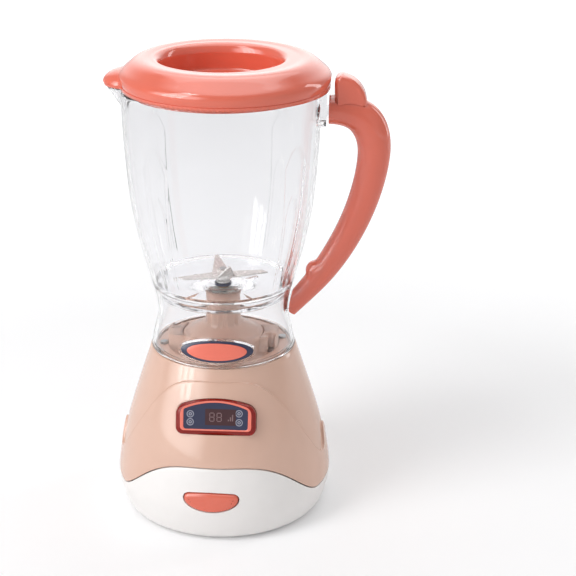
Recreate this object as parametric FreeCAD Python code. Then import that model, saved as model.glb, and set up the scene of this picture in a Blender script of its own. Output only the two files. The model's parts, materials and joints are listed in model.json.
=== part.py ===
import FreeCAD, Part
import math
import os
from FreeCAD import Matrix, Vector

# A battery-powered toy blender: a round base with a push button and a display, a clear jug that
# lifts off it, a lid, a curved handle and blades that the base turns through a dog clutch.
# Millimetres. The origin is the centre of the flat underside, +Z is up, the button and the display
# face -Y, the handle points to +X and the spout to -X.

# ---- fits and walls ----
SLIP = 0.05            # between pieces of one body that plug together
RUN = 0.05             # radial clearance of a shaft in its bush
REST_GAP = 0.3         # between bodies that rest on each other
WALL = 2.6             # base housings
THIN_WALL = 1.6        # battery box and small ribs
CLEAR_WALL = 2.0       # jug and collar
SPLIT = 0.3            # visible line between the tan and the white housing

# ---- base outline, radius at height ----
FLOOR_R = 44.7         # flat underside
HEEL_R = 50.2
HEEL_Z = 2.3
FOOT_R = 52.7
FOOT_Z = 8.0
BULGE_R = 54.3
BULGE_Z = 16.0
HIP_R = 53.3
HIP_Z = 28.0
SHOULDER_R = 51.4
SHOULDER_Z = 39.0
CHEST_R = 45.6
CHEST_Z = 60.0
SEAM_R = 36.1          # where the clear collar meets the tan housing
SEAM_Z = 86.3
APRON = 0.9            # the raised apron stands this far out of the housing above it
FLOOR_T = 2.2

# ---- the two wavy lines round the base ----
WAVE_STEPS = 60
SPLIT_LOW = 17.3       # tan and white housing, at the sides
SPLIT_HIGH = 40.1      # and at the middle of the front and back arch
SPLIT_REACH = 66.0     # degrees from the middle of an arch to its end
SPLIT_POWER = 1.75
APRON_LOW = 32.0
APRON_HIGH = 80.6
APRON_SIDE = 42.5      # top of the small arch at each side
APRON_REACH = 78.0
APRON_POWER = 1.9

# ---- ledge and seat under the collar ----
LEDGE_T = 2.2
LEDGE_HOLE_R = 28.0
GROOVE_IN_R = 32.3     # groove that takes the collar's lip
GROOVE_OUT_R = 34.6
GROOVE_DEPTH = 1.3
SEAT_FLANGE_R = 31.5
SEAT_FLANGE_T = 2.2
DOME_R = 20.5
DOME_Z = 92.4
DOME_ROUND = 1.9
DOME_WALL = 1.8
NECK_R = 8.7
NECK_FOOT_Z = 98.2
NECK_TOP_Z = 114.4
NECK_BORE_R = 6.9
LUG_R = 27.7           # two raised lugs, one on each side of the dome
LUG_HALF = 8.5
LUG_TOP_Z = 92.2
BUSH_R = 4.0
BUSH_LOW_Z = 95.6
BUSH_TOP_Z = 103.4

# ---- drive train ----
SHAFT_R = 1.5
SHAFT_LOW_Z = 61.4
SHAFT_TOP_Z = 106.9
GEAR_MODULE = 0.5
GEAR_TEETH = 40
PINION_TEETH = 10
GEAR_LOW_Z = 66.2
GEAR_T = 4.0
PINION_T = 5.0
TOOTH_RELIEF = 0.12    # the teeth stop this far short of the next root
FRAME_LOW_Z = 63.2
FRAME_T = 2.0
FRAME_R = 28.0
POST_R = 3.0
POST_AT_R = 25.2
POST_TURN = -106.0     # azimuth of the first post, degrees from the front towards the handle
MOTOR_WIDE = 20.1
MOTOR_FLAT = 15.1
MOTOR_LONG = 25.0
MOTOR_NOSE_R = 3.05
MOTOR_NOSE = 1.4
MOTOR_SHAFT_R = 1.0
MOTOR_SCREW_OFF = 8.0  # screws either side of the motor's shaft
DOG_R = 5.8
DOG_BORE_R = 2.4
DOG_COUNT = 4
DOG_SPAN = 38.0        # degrees of each dog
DOG_HIGH = 3.0
DOG_DISC_T = 3.0
DOG_LOW_Z = 104.0
DOG_END_GAP = 0.6

# ---- batteries and their box ----
CELL_R = 7.2
CELL_LONG = 50.0
CELL_PITCH = 15.2
NUB_R = 2.7
NUB_HIGH = 1.0
BOX_LONG = 57.0
BOX_Y0 = 3.5
BOX_HIGH = 16.8
BOX_LEDGE = 1.25       # the cover is this much larger than the box, all round
COVER_T = 2.0
COVER_GAP = 0.2
TAB_X = 16.0
TAB_WIDE = 9.0
TAB_LONG = 5.4
CONTACT_T = 0.5
SPRING_WIRE_R = 0.4
SPRING_COIL_R = 3.2
SPRING_TURNS = 2
COIL_STEPS = 8         # rings of wire in each turn of a spring

# ---- screws ----
HOUSING_SCREW_X = 37.0
HOUSING_SCREW_Y = 20.0
HOUSING_BOSS_R = 3.6
HOUSING_BOSS_TOP = 16.0
HOUSING_POST_TOP = 66.0
SCREW_R = 1.3
SCREW_HEAD_R = 2.6
SCREW_HEAD_T = 1.6
SCREW_SEAT_Z = 6.0
SCREW_LONG = 18.0
SMALL_SCREW_R = 1.0
SMALL_HEAD_R = 1.9
SMALL_HEAD_T = 1.2
LEDGE_SCREW_R = 29.8   # circle that the two ledge screws stand on
LEDGE_SCREW_TURN = -79.0

# ---- push button and switch ----
BUTTON_X = -1.9
BUTTON_HALF = 13.3
BUTTON_TOP_Z = 27.7
BUTTON_CORNER_Z = 24.6
BUTTON_LOW_Z = 18.4
BUTTON_ROUND = 3.0
BUTTON_CROWN = 0.6     # rise of the top edge over its ends
BUTTON_GAP = 0.4
BUTTON_PROUD = 0.9
BUTTON_WALL = 2.0
BUTTON_TRAVEL = 1.8
BUTTON_FLANGE = 1.6
BUTTON_FLANGE_T = 1.4
STEM_R = 2.6
STEM_END_Y = -43.6
SWITCH_Z = 23.2
SWITCH_SIZE = 7.0
SWITCH_T = 3.6
PLUNGER_R = 1.6
BOARD_T = 1.6
SWITCH_BOARD_Y = -36.0
SWITCH_BOARD_HALF = 12.0
SWITCH_BOARD_TOP = 31.0
SLOT_HIGH = 8.0
RETURN_COIL_R = 3.6
RETURN_WIRE_R = 0.4
RETURN_TURNS = 4
SPRING_SEAT_Y = -48.4

# ---- display, flat panel leaning back ----
PANEL_TILT = 16.0
PANEL_Y = -44.3
PANEL_Z = 64.9
LENS_HALF = 19.4
LENS_LOW = -8.9
LENS_HIP = 4.6
LENS_CROWN = 8.95
LENS_ROUND_LOW = 3.4
LENS_ROUND_HIGH = 6.0
LENS_DEPTH = 8.5
LENS_WALL = 1.8
LENS_FRONT_T = 2.0
LENS_GAP = 0.15
LABEL_HALF = 15.6
LABEL_LOW = -6.0
LABEL_HIP = 3.6
LABEL_CROWN = 7.0
LABEL_ROUND = 1.3
LABEL_T = 0.4
WINDOW_LEFT = -5.1
WINDOW_RIGHT = 9.8
WINDOW_LOW = -4.0
WINDOW_HIGH = 4.0
LED_HALF = 10.0
LED_HIGH = 9.0
DISPLAY_BOARD_HALF = 17.0
DISPLAY_BOARD_HIGH = 15.0
DISPLAY_SCREW_X = 14.6

# ---- jug and collar outline ----
WAIST_R = 32.3
WAIST_Z = 105.0
COLLAR_MID_R = 34.2
COLLAR_MID_Z = 95.0
FLARE_R = 33.2
FLARE_Z = 113.0
JOIN_R = 34.9
JOIN_Z = 119.3
LIP_LOW = 1.0          # the collar's lip reaches this far into the groove
BELLY = (
    (37.8, 130.0), (40.4, 140.0), (42.5, 150.0), (44.2, 160.0), (45.5, 172.0), (46.5, 185.0), (47.3, 200.0),
)
RIM_R = 47.7
RIM_Z = 217.2
NEST_GAP = 0.15        # between the jug's bowl and the collar round it
BOWL_TURN_Z = 114.0
BOWL_FOOT_R = 29.2
BOWL_FOOT_Z = 112.5
HUB_FOOT_R = 17.4
HUB_TOP_R = 11.2
HUB_TOP_Z = 117.0
HUB_RING_R = 9.8
HUB_RING_HIGH = 0.9
HUB_SOCKET_R = 9.3
VANE_COUNT = 4
VANE_LONG = 22.5
VANE_T = 1.4
VANE_TURN = 45.0

# ---- arched flutes pressed into the jug ----
FLUTE_COUNT = 4
FLUTE_TURN = 53.0
FLUTE_HALF = 7.0
FLUTE_FOOT_HALF = 4.0
FLUTE_LOW_Z = 124.0
FLUTE_HIP_Z = 186.0
FLUTE_TIP_Z = 196.0
FLUTE_DEEP = 0.6

# ---- spout ----
SPOUT_CENTRE = 42.0
SPOUT_LONG = 12.8
SPOUT_HALF = 12.0
SPOUT_FOOT_LONG = 5.2
SPOUT_FOOT_HALF = 4.0
SPOUT_FOOT_Z = 205.5
SPOUT_WALL = 1.6

# ---- blades on their spindle ----
SPINDLE_TOP_Z = 125.6
SPINDLE_BUSH_R = 3.2
WASHER_R = 4.2
WASHER_T = 1.2
SPACER_R = 3.5
SPACER_T = 2.7
BLADE_T = 0.8
BLADE_HUB_R = 5.6
LOWER_BLADE_LONG = 22.5
LOWER_BLADE_ROOT = 4.6
LOWER_BLADE_TIP = 2.6
LOWER_BLADE_TURN = 12.0
UPPER_BLADE_LONG = 9.0
UPPER_BLADE_ROOT = 4.4
UPPER_BLADE_TIP = 0.7
UPPER_BLADE_BEND = 52.0
UPPER_BLADE_TURN = 117.0
NUT_R = 2.9
NUT_T = 2.0

# ---- handle: centre line and section width ----
HANDLE_LINE = (
    (46.0, 206.8, 14.2), (57.0, 206.6, 14.4), (66.8, 203.2, 16.6), (72.3, 193.5, 16.4), (72.6, 182.0, 15.6),
    (70.2, 169.0, 15.0), (65.2, 153.6, 14.2), (54.0, 131.7, 12.8), (47.1, 121.7, 11.6), (39.5, 112.6, 10.3),
    (32.6, 104.9, 9.4),
)
HANDLE_DEPTH = 0.94    # depth of a section for its width
HANDLE_STEPS = 12      # points that each section is drawn through
HANDLE_WALL = 2.0
HANDLE_ROOT_X = 50.2
HANDLE_END_GAP = 1.0   # from the collar to the handle's lower end
PAD_HALF = 3.0         # pad on the collar that the handle's lower end stands on
PAD_HIGH = 8.0
TONGUE_ROOT_X = 58.0
TONGUE_END_X = 41.5
BRACKET_HALF = 7.5
BRACKET_LOW_Z = 200.0
BRACKET_HIGH_Z = 216.9
BUMP_X = 45.6
BUMP_Z = 125.4
BUMP_R = 4.6
HANDLE_SCREWS = ((72.5, 187.0), (60.4, 143.6))
HANDLE_BOSS_R = 2.9
HANDLE_HEAD_DEEP = 2.6
THUMB_HALF = 5.6
THUMB_ROUND = 2.0
THUMB_HEEL_X = 53.6
THUMB_TOE_X = 68.9
THUMB_TOP_X = 57.2
THUMB_TOP_Z = 224.2
THUMB_NOSE_Z = THUMB_TOP_Z - 4.4
THUMB_TOE_Z = THUMB_TOP_Z - 12.6
THUMB_BROW = (THUMB_HEEL_X + 1.0, 0, THUMB_TOP_Z - 1.3)   # points on its two round edges
THUMB_BACK = (THUMB_TOP_X + 6.8, 0, THUMB_TOP_Z - 3.1)

# ---- lid ----
PLUG_FLANGE_R = 49.7
PLUG_FLANGE_T = 1.6
SPIGOT_T = 1.9
SPIGOT_LOW_Z = 215.6
LID_X = 2.0            # the lid's ring is set this far towards the handle
LID_R = 50.1
LID_BROW_IN = 3.4      # the ring's brow stands in from its widest line by this
LID_BROW_Z = 227.2
LID_BELT_HIGH = 4.2    # the widest line is this far above the ring's lower edge
LID_HEM_IN = 0.7
LID_WALL = 1.8
LID_CREST_R = 40.9
LID_TOP_Z = 231.1
LID_FLAT = 5.6         # the ring is level from its crest inwards, over this and on to the lip
WELL_R = 28.6
MOUTH_ROUND = 3.6      # the well's lip, rounded into the flat top of the ring
WELL_FLOOR_Z = 218.0
BEAK_CENTRE = 42.2
BEAK_LONG = 14.0
BEAK_HALF = 13.0
BEAK_HIGH = 6.8
BEAK_Z = 218.8
LOBE_IN = 0.4          # the flange under the beak stands in from it by this
NOTCH_R = 8.0
NOTCH_X = 58.9
NOTCH_Z = 220.0

# ---- badge on the collar ----
BADGE_Z = 95.7
BADGE_HALF = 17.5
BADGE_HALF_HIGH = 5.2
BADGE_T = 0.5
BADGE_BOW_R = 70.0
BADGE_REACH = 34.5     # front of the pad under the badge, from the axis
BADGE_LEAN = 11.5
INLAY_HALF = 14.5
INLAY_HALF_HIGH = 4.15
INLAY_T = 0.3
BADGE_RIM = 1.4
BADGE_RIM_PROUD = 0.9

FAR = 200.0            # longer than anything here, for cutting tools
UP = Vector(0, 0, 1)

BASE_LINE = (
    (FLOOR_R, 0.0), (HEEL_R, HEEL_Z), (FOOT_R, FOOT_Z), (BULGE_R, BULGE_Z), (HIP_R, HIP_Z),
    (SHOULDER_R, SHOULDER_Z), (CHEST_R, CHEST_Z), (SEAM_R + APRON, SEAM_Z),
)
COLLAR_LINE = (
    (SEAM_R, SEAM_Z), (COLLAR_MID_R, COLLAR_MID_Z), (WAIST_R, WAIST_Z), (FLARE_R, FLARE_Z), (JOIN_R, JOIN_Z),
)
JUG_LINE = ((JOIN_R, JOIN_Z),) + BELLY + ((RIM_R, RIM_Z),)


# ---- shape helpers ----
def cylinder(radius, low, high, x=0.0, y=0.0):
    return Part.makeCylinder(radius, high - low, Vector(x, y, low), UP)


def tube(outer, inner, low, high, x=0.0, y=0.0):
    return cylinder(outer, low, high, x, y).cut(cylinder(inner, low - 1, high + 1, x, y))


def block(x0, x1, y0, y1, z0, z1):
    return Part.makeBox(x1 - x0, y1 - y0, z1 - z0, Vector(x0, y0, z0))


def along_y(radius, y0, y1, x, z):
    """Cylinder from y0 to y1."""
    return Part.makeCylinder(radius, y1 - y0, Vector(x, y0, z), Vector(0, 1, 0))


def along_x(radius, x0, x1, y, z):
    return Part.makeCylinder(radius, x1 - x0, Vector(x0, y, z), Vector(1, 0, 0))


def at_azimuth(radius, turn):
    """X and Y of a point; the azimuth counts from the front towards the handle."""
    angle = math.radians(turn)
    return radius * math.sin(angle), -radius * math.cos(angle)


def moved_line(line, inset):
    return [(radius - inset, height) for radius, height in line]


def curve(line):
    spline = Part.BSplineCurve()
    spline.interpolate([Vector(radius, 0, height) for radius, height in line])
    return spline.toShape()


def straight(a, b):
    return Part.makeLine(Vector(a[0], 0, a[1]), Vector(b[0], 0, b[1]))


def turned(edges):
    """Solid turned about the Z axis from a closed outline in the XZ plane."""
    return Part.Face(Part.Wire(edges)).revolve(Vector(), UP, 360)


def turned_points(points):
    """The same from straight runs between points."""
    loop = list(points) + [points[0]]
    return turned([straight(a, b) for a, b in zip(loop, loop[1:])])


def filled(line, inset=0.0):
    """Solid from the axis out to the smooth line, moved inwards by inset."""
    line = moved_line(line, inset)
    low, high = line[0], line[-1]
    return turned([
        curve(line), straight(high, (0, high[1])), straight((0, high[1]), (0, low[1])),
        straight((0, low[1]), low),
    ])


def filled_between(line, inset, low, high):
    return filled(line, inset).common(cylinder(FAR, low, high))


def skin(line, outer_inset, inner_inset):
    """Layer of a body of revolution between two insets of its outline."""
    return filled(line, outer_inset).cut(filled(line, inner_inset))


def fused(first, *others):
    for other in others:
        first = first.fuse(other)
    return first.removeSplitter()


def prism_y(wire, y0, y1):
    """Prism of a closed wire in the XZ plane, from y0 to y1."""
    wire = wire.copy()
    wire.translate(Vector(0, y0, 0))
    return Part.Face(wire).extrude(Vector(0, y1 - y0, 0))


def ellipse_prism(half, half_high, z, y0, y1):
    oval = Part.Ellipse(Vector(half, 0, z), Vector(0, 0, z + half_high), Vector(0, 0, z))
    return prism_y(Part.Wire(oval.toShape()), y0, y1)


def ellipsoid(centre, x_half, y_half, z_half):
    scale = Matrix()
    scale.scale(x_half, y_half, z_half)
    shape = Part.makeSphere(1.0).transformGeometry(scale)
    shape.translate(Vector(*centre))
    return shape


def screw(x, y, seat, shank, radius=SCREW_R, head_r=SCREW_HEAD_R, head_t=SCREW_HEAD_T, down=True):
    """Pan-head screw on a seat at height seat; its shank points down or up."""
    if down:
        return fused(cylinder(head_r, seat, seat + head_t, x, y), cylinder(radius, seat - shank, seat, x, y))
    return fused(cylinder(head_r, seat - head_t, seat, x, y), cylinder(radius, seat, seat + shank, x, y))


def coil(radius, wire_r, turns, low, high):
    """Round-wire compression spring about the Z axis, with its ends inside low and high."""
    rise = (high - low - 2 * wire_r) / turns
    lean = math.atan2(rise, 2 * math.pi * radius)
    rings = []
    for step in range(turns * COIL_STEPS + 1):
        turn = 2 * math.pi * step / COIL_STEPS
        out = Vector(math.cos(turn), math.sin(turn), 0)
        along = Vector(-out.y * math.cos(lean), out.x * math.cos(lean), math.sin(lean))
        centre = out * radius + Vector(0, 0, low + wire_r + rise * step / COIL_STEPS)
        rings.append(Part.Wire(Part.makeCircle(wire_r, centre, along)))
    return Part.makeLoft(rings, True, False)


# ---- wavy cuts round the base ----
def arch(share, power):
    """1 at the middle of an arch, 0 at its end, level at both."""
    return (1 + math.cos(math.pi * min(abs(share), 1.0) ** power)) / 2


def split_height(turn):
    fold = abs(abs(turn) - 180) if abs(turn) > 90 else abs(turn)
    return SPLIT_LOW + (SPLIT_HIGH - SPLIT_LOW) * arch(fold / SPLIT_REACH, SPLIT_POWER)


def apron_height(turn):
    fold = abs(abs(turn) - 180) if abs(turn) > 90 else abs(turn)
    if fold <= APRON_REACH:
        return APRON_LOW + (APRON_HIGH - APRON_LOW) * arch(fold / APRON_REACH, APRON_POWER)
    return APRON_LOW + (APRON_SIDE - APRON_LOW) * arch((90 - fold) / (90 - APRON_REACH), 1.0)


def wavy_ring(height_at, shift, up):
    """Thick ring whose top (or underside, with up) follows height_at round the Z axis."""
    edges = []
    for radius in (WAIST_R - WALL - APRON, BULGE_R * 1.3):
        points = []
        for step in range(WAVE_STEPS):
            turn = step * 360 / WAVE_STEPS - 180
            x, y = at_azimuth(radius, turn)
            points.append(Vector(x, y, height_at(turn) + shift))
        ring = Part.BSplineCurve()
        ring.interpolate(Points=points, PeriodicFlag=True)
        edges.append(ring.toShape())
    face = Part.makeRuledSurface(edges[0], edges[1])
    return face.extrude(Vector(0, 0, FAR if up else -FAR))


def housing_ring():
    """The base wall all the way up, with the area above the apron set back."""
    wall = skin(BASE_LINE, 0, WALL)
    outside = filled(BASE_LINE, -1).cut(filled(BASE_LINE, APRON))
    return wall.cut(outside.common(wavy_ring(apron_height, 0, True)))


# ---- cut-outs shared by pieces ----
def button_wire(grow=0.0):
    """Half-moon outline: slightly arched top, round corners, elliptic underside."""
    half = BUTTON_HALF + grow
    top = BUTTON_TOP_Z + grow
    shoulder = top - BUTTON_CROWN
    turn_x = BUTTON_HALF - BUTTON_ROUND
    reach = (half - turn_x) * math.sqrt(0.5)
    rise = (shoulder - BUTTON_CORNER_Z) * math.sqrt(0.5)
    drop = BUTTON_CORNER_Z - BUTTON_LOW_Z + grow

    def corner(side):
        return Part.Arc(
            Vector(side * half, 0, BUTTON_CORNER_Z),
            Vector(side * (turn_x + reach), 0, BUTTON_CORNER_Z + rise),
            Vector(side * turn_x, 0, shoulder),
        ).toShape()

    centre = Vector(0, 0, BUTTON_CORNER_Z)
    bowl = Part.Ellipse(centre + Vector(half, 0, 0), centre - Vector(0, 0, drop), centre)
    under = Part.ArcOfEllipse(bowl, 0, math.pi)
    brow = Part.Arc(Vector(-turn_x, 0, shoulder), Vector(0, 0, top), Vector(turn_x, 0, shoulder))
    wire = Part.Wire([corner(-1), brow.toShape(), corner(1), under.toShape()])
    wire.translate(Vector(BUTTON_X, 0, 0))
    return wire


def panel_prism(half, low, hip, crown, round_low, round_high, front, back):
    """Arched plate of the display, from local depth front to back, set on the leaning panel."""
    rise = crown - hip
    bow_r = (half * half + rise * rise) / (2 * rise)
    bow_z = crown - bow_r
    shoulder_x = half - round_high
    shoulder_z = bow_z + math.sqrt((bow_r - round_high) ** 2 - shoulder_x ** 2)
    lean = math.atan2(shoulder_z - bow_z, shoulder_x)
    bow_end = (bow_r * math.cos(lean), bow_z + bow_r * math.sin(lean))
    half_way = (shoulder_x + round_high * math.cos(lean / 2), shoulder_z + round_high * math.sin(lean / 2))
    short = round_low * (1 - math.sqrt(0.5))

    def at(x, z):
        return Vector(x, front, z)

    edges = [
        Part.Arc(at(*bow_end), at(0, crown), at(-bow_end[0], bow_end[1])).toShape(),
        Part.makeLine(at(-half + round_low, low), at(half - round_low, low)),
    ]
    for side in (-1, 1):
        edges += [
            Part.Arc(at(side * bow_end[0], bow_end[1]), at(side * half_way[0], half_way[1]),
                     at(side * half, shoulder_z)).toShape(),
            Part.makeLine(at(side * half, shoulder_z), at(side * half, low + round_low)),
            Part.Arc(at(side * half, low + round_low), at(side * (half - short), low + short),
                     at(side * (half - round_low), low)).toShape(),
        ]
    outline = Part.Wire(Part.sortEdges(edges)[0])
    return on_panel(Part.Face(outline).extrude(Vector(0, back - front, 0)))


def on_panel(shape):
    """Moves a shape from the panel's own frame, X across and Z up, to its leaning place."""
    shape = shape.copy()
    shape.rotate(Vector(), Vector(1, 0, 0), -PANEL_TILT)
    shape.translate(Vector(0, PANEL_Y, PANEL_Z))
    return shape


def lens_prism(grow, front, back):
    return panel_prism(
        LENS_HALF + grow, LENS_LOW - grow, LENS_HIP, LENS_CROWN + grow, LENS_ROUND_LOW + grow,
        LENS_ROUND_HIGH + grow, front, back,
    )


def handle_loft(inset):
    """Tapering round bar along the handle's centre line, its sections drawn in by inset."""
    spine = Part.BSplineCurve()
    spine.interpolate([Vector(x, 0, z) for x, z, _ in HANDLE_LINE])
    sections = []
    for x, z, width in HANDLE_LINE:
        centre = Vector(x, 0, z)
        along = spine.tangent(spine.parameter(centre))[0]
        across = along.cross(Vector(0, 1, 0)).normalize()
        half = width / 2 - inset
        deep = width * HANDLE_DEPTH / 2 - inset
        points = []
        for step in range(HANDLE_STEPS):
            angle = 2 * math.pi * step / HANDLE_STEPS
            points.append(centre + across * half * math.sin(angle) + Vector(0, deep * math.cos(angle), 0))
        ring = Part.BSplineCurve()
        ring.interpolate(Points=points, PeriodicFlag=True)
        sections.append(Part.Wire(ring.toShape()))
    return Part.makeLoft(sections, True, False)


def spout_cone(wall):
    """Solid of the spout, narrowing down to the jug's wall, drawn in by wall."""
    sections = []
    ends = ((RIM_Z, SPOUT_LONG, SPOUT_HALF), (SPOUT_FOOT_Z + wall, SPOUT_FOOT_LONG, SPOUT_FOOT_HALF))
    for height, long, half in ends:
        oval = Part.Ellipse(Vector(-SPOUT_CENTRE, 0, height), long - wall, half - wall)
        sections.append(Part.Wire(oval.toShape()))
    return Part.makeLoft(sections, True, True)


# ---- base: housings ----
def housing_screw_places():
    return [(sx * HOUSING_SCREW_X, sy * HOUSING_SCREW_Y) for sx in (-1, 1) for sy in (-1, 1)]


def bosses(radius, low, high):
    """The four housing screw places, as one shape of cylinders."""
    places = housing_screw_places()
    return Part.makeCompound([cylinder(radius, low, high, x, y) for x, y in places])


BOX_HALF = BOX_LONG / 2
BOX_WIDE = 2 * CELL_PITCH
BOX_Y1 = BOX_Y0 + BOX_WIDE
CELL_YS = (BOX_Y0 + CELL_PITCH / 2, BOX_Y1 - CELL_PITCH / 2)
BOX_TOP = FLOOR_T + BOX_HIGH
CELL_Z = FLOOR_T + REST_GAP + CELL_R
TAB_SCREW_Y = BOX_Y0 - BOX_LEDGE - TAB_LONG / 2


def cover_plan(gap, low, high):
    """Battery cover outline as a solid: a plate with a screw tab, smaller than its opening by gap."""
    plate = block(
        -BOX_HALF - BOX_LEDGE + gap, BOX_HALF + BOX_LEDGE - gap,
        BOX_Y0 - BOX_LEDGE + gap, BOX_Y1 + BOX_LEDGE - gap,
        low, high,
    )
    tab = block(
        TAB_X - TAB_WIDE / 2 + gap, TAB_X + TAB_WIDE / 2 - gap,
        BOX_Y0 - BOX_LEDGE - TAB_LONG + gap, BOX_Y0, low, high,
    )
    return fused(plate, tab)


def lower_housing():
    wall = skin(BASE_LINE, 0, WALL).common(wavy_ring(split_height, -SPLIT / 2, False))
    floor = filled_between(BASE_LINE, 0, 0, FLOOR_T)
    box = block(
        -BOX_HALF - THIN_WALL, BOX_HALF + THIN_WALL, BOX_Y0 - THIN_WALL, BOX_Y1 + THIN_WALL,
        0, BOX_TOP + THIN_WALL,
    )
    tab_boss = cylinder(TAB_WIDE / 2, 0, BOX_TOP / 2, TAB_X, TAB_SCREW_Y)
    slot_half = SWITCH_BOARD_HALF + SLIP
    slot_walls = block(
        BUTTON_X - slot_half - THIN_WALL, BUTTON_X + slot_half + THIN_WALL, SWITCH_BOARD_Y - THIN_WALL - SLIP,
        SWITCH_BOARD_Y + BOARD_T + THIN_WALL + SLIP, 0, SLOT_HIGH,
    )
    solid = fused(wall, floor, box, tab_boss, slot_walls, *bosses(HOUSING_BOSS_R, 0, HOUSING_BOSS_TOP).Solids)
    cuts = [
        block(-BOX_HALF, BOX_HALF, BOX_Y0, BOX_Y1, -1, BOX_TOP),
        cover_plan(0, -1, FLOOR_T),
        cylinder(SCREW_R + SLIP, -1, BOX_TOP / 2 - THIN_WALL, TAB_X, TAB_SCREW_Y),
        block(
            BUTTON_X - slot_half, BUTTON_X + slot_half,
            SWITCH_BOARD_Y - SLIP, SWITCH_BOARD_Y + BOARD_T + SLIP,
            FLOOR_T, SLOT_HIGH + 1,
        ),
        bosses(SCREW_R + SLIP, -1, HOUSING_BOSS_TOP + 1),
        bosses(SCREW_HEAD_R + REST_GAP, -1, SCREW_SEAT_Z),
        prism_y(button_wire(BUTTON_GAP), -FAR, -BULGE_R + 4 * WALL),
    ]
    for cut in cuts:
        solid = solid.cut(cut)
    return solid


def upper_housing():
    wall = housing_ring().cut(wavy_ring(split_height, SPLIT / 2, False))
    ledge = filled_between(BASE_LINE, APRON, SEAM_Z - LEDGE_T, SEAM_Z).cut(
        cylinder(LEDGE_HOLE_R, SEAM_Z - LEDGE_T - 1, SEAM_Z + 1)
    )
    inside = filled(BASE_LINE, WALL / 2)
    posts = bosses(HOUSING_BOSS_R, HOUSING_BOSS_TOP, HOUSING_POST_TOP).common(inside)
    solid = fused(wall, ledge, *posts.Solids)
    cuts = [
        tube(GROOVE_OUT_R, GROOVE_IN_R, SEAM_Z - GROOVE_DEPTH, SEAM_Z + 1),
        bosses(SCREW_R + SLIP, HOUSING_BOSS_TOP - 1, SCREW_SEAT_Z + SCREW_LONG + 1),
        lens_prism(LENS_GAP, -2 * WALL, 2 * LENS_DEPTH),
    ]
    cuts += [cylinder(SMALL_SCREW_R + SLIP, 0, FAR, *place) for place in ledge_screw_places()]
    for cut in cuts:
        solid = solid.cut(cut)
    return solid


def ledge_screw_places():
    return [at_azimuth(LEDGE_SCREW_R, LEDGE_SCREW_TURN + turn) for turn in (0, 180)]


def post_places():
    return [at_azimuth(POST_AT_R, POST_TURN + 90 * turn) for turn in range(4)]


SEAT_LOW_Z = SEAM_Z - LEDGE_T - SEAT_FLANGE_T
SEAT_TOP_Z = SEAM_Z - LEDGE_T


def jug_seat():
    """Dome and neck that stand inside the collar, screwed under the ledge."""
    round_mid = DOME_ROUND * (1 - math.sqrt(0.5))
    shoulder = Part.Arc(
        Vector(DOME_R, 0, DOME_Z - DOME_ROUND), Vector(DOME_R - round_mid, 0, DOME_Z - round_mid),
        Vector(DOME_R - DOME_ROUND, 0, DOME_Z),
    ).toShape()
    points = [
        (DOME_R - DOME_ROUND, DOME_Z), (NECK_R, NECK_FOOT_Z), (NECK_R, NECK_TOP_Z), (NECK_BORE_R, NECK_TOP_Z),
        (NECK_BORE_R, BUSH_TOP_Z), (BUSH_R, BUSH_TOP_Z), (BUSH_R, BUSH_LOW_Z),
        (DOME_R - DOME_WALL, DOME_Z - DOME_ROUND), (DOME_R - DOME_WALL, SEAT_LOW_Z),
        (SEAT_FLANGE_R, SEAT_LOW_Z),
        (SEAT_FLANGE_R, SEAT_TOP_Z), (DOME_R, SEAT_TOP_Z), (DOME_R, DOME_Z - DOME_ROUND),
    ]
    solid = turned([straight(a, b) for a, b in zip(points, points[1:])] + [shoulder])
    lugs = cylinder(LUG_R, SEAT_TOP_Z - 1, LUG_TOP_Z).cut(cylinder(DOME_R - SLIP, 0, FAR))
    lugs = lugs.common(block(-FAR, FAR, -LUG_HALF, LUG_HALF, 0, FAR))
    solid = fused(solid, *lugs.Solids)
    for x, y in post_places() + ledge_screw_places():
        solid = solid.cut(cylinder(SMALL_SCREW_R + SLIP, 0, FAR, x, y))
        solid = solid.cut(cylinder(SMALL_HEAD_R + REST_GAP, SEAT_TOP_Z, FAR, x, y))
    return solid


def battery_cover():
    plate = cover_plan(COVER_GAP, FLOOR_T - COVER_T, FLOOR_T)
    plate = plate.cut(cylinder(SCREW_R + SLIP, -1, FLOOR_T + 1, TAB_X, TAB_SCREW_Y))
    seat = FLOOR_T - COVER_T + SCREW_HEAD_T / 2
    return plate.cut(cylinder(SCREW_HEAD_R + REST_GAP / 2, -1, seat, TAB_X, TAB_SCREW_Y))


def battery_cover_screw():
    seat = FLOOR_T - COVER_T + SCREW_HEAD_T / 2
    return fused(
        cylinder(SCREW_HEAD_R, FLOOR_T - COVER_T, seat, TAB_X, TAB_SCREW_Y),
        cylinder(SCREW_R, seat, BOX_TOP / 2 - 2 * THIN_WALL, TAB_X, TAB_SCREW_Y),
    )


def housing_screws():
    places = housing_screw_places()
    return Part.makeCompound([screw(x, y, SCREW_SEAT_Z, SCREW_LONG, down=False) for x, y in places])


# ---- base: batteries ----
CELL_END = BOX_HALF - CONTACT_T - NUB_HIGH - SLIP


def battery_cells():
    """Two cells side by side, the second one turned round."""
    cells = []
    for y, way in zip(CELL_YS, (1, -1)):
        can_from = CELL_END - CELL_LONG
        can = along_x(CELL_R, can_from, CELL_END, y, CELL_Z)
        nub = along_x(NUB_R, CELL_END, CELL_END + NUB_HIGH, y, CELL_Z)
        cell = fused(can, nub)
        if way < 0:
            cell = cell.mirror(Vector(), Vector(1, 0, 0))
        cells.append(cell)
    return Part.makeCompound(cells)


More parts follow.
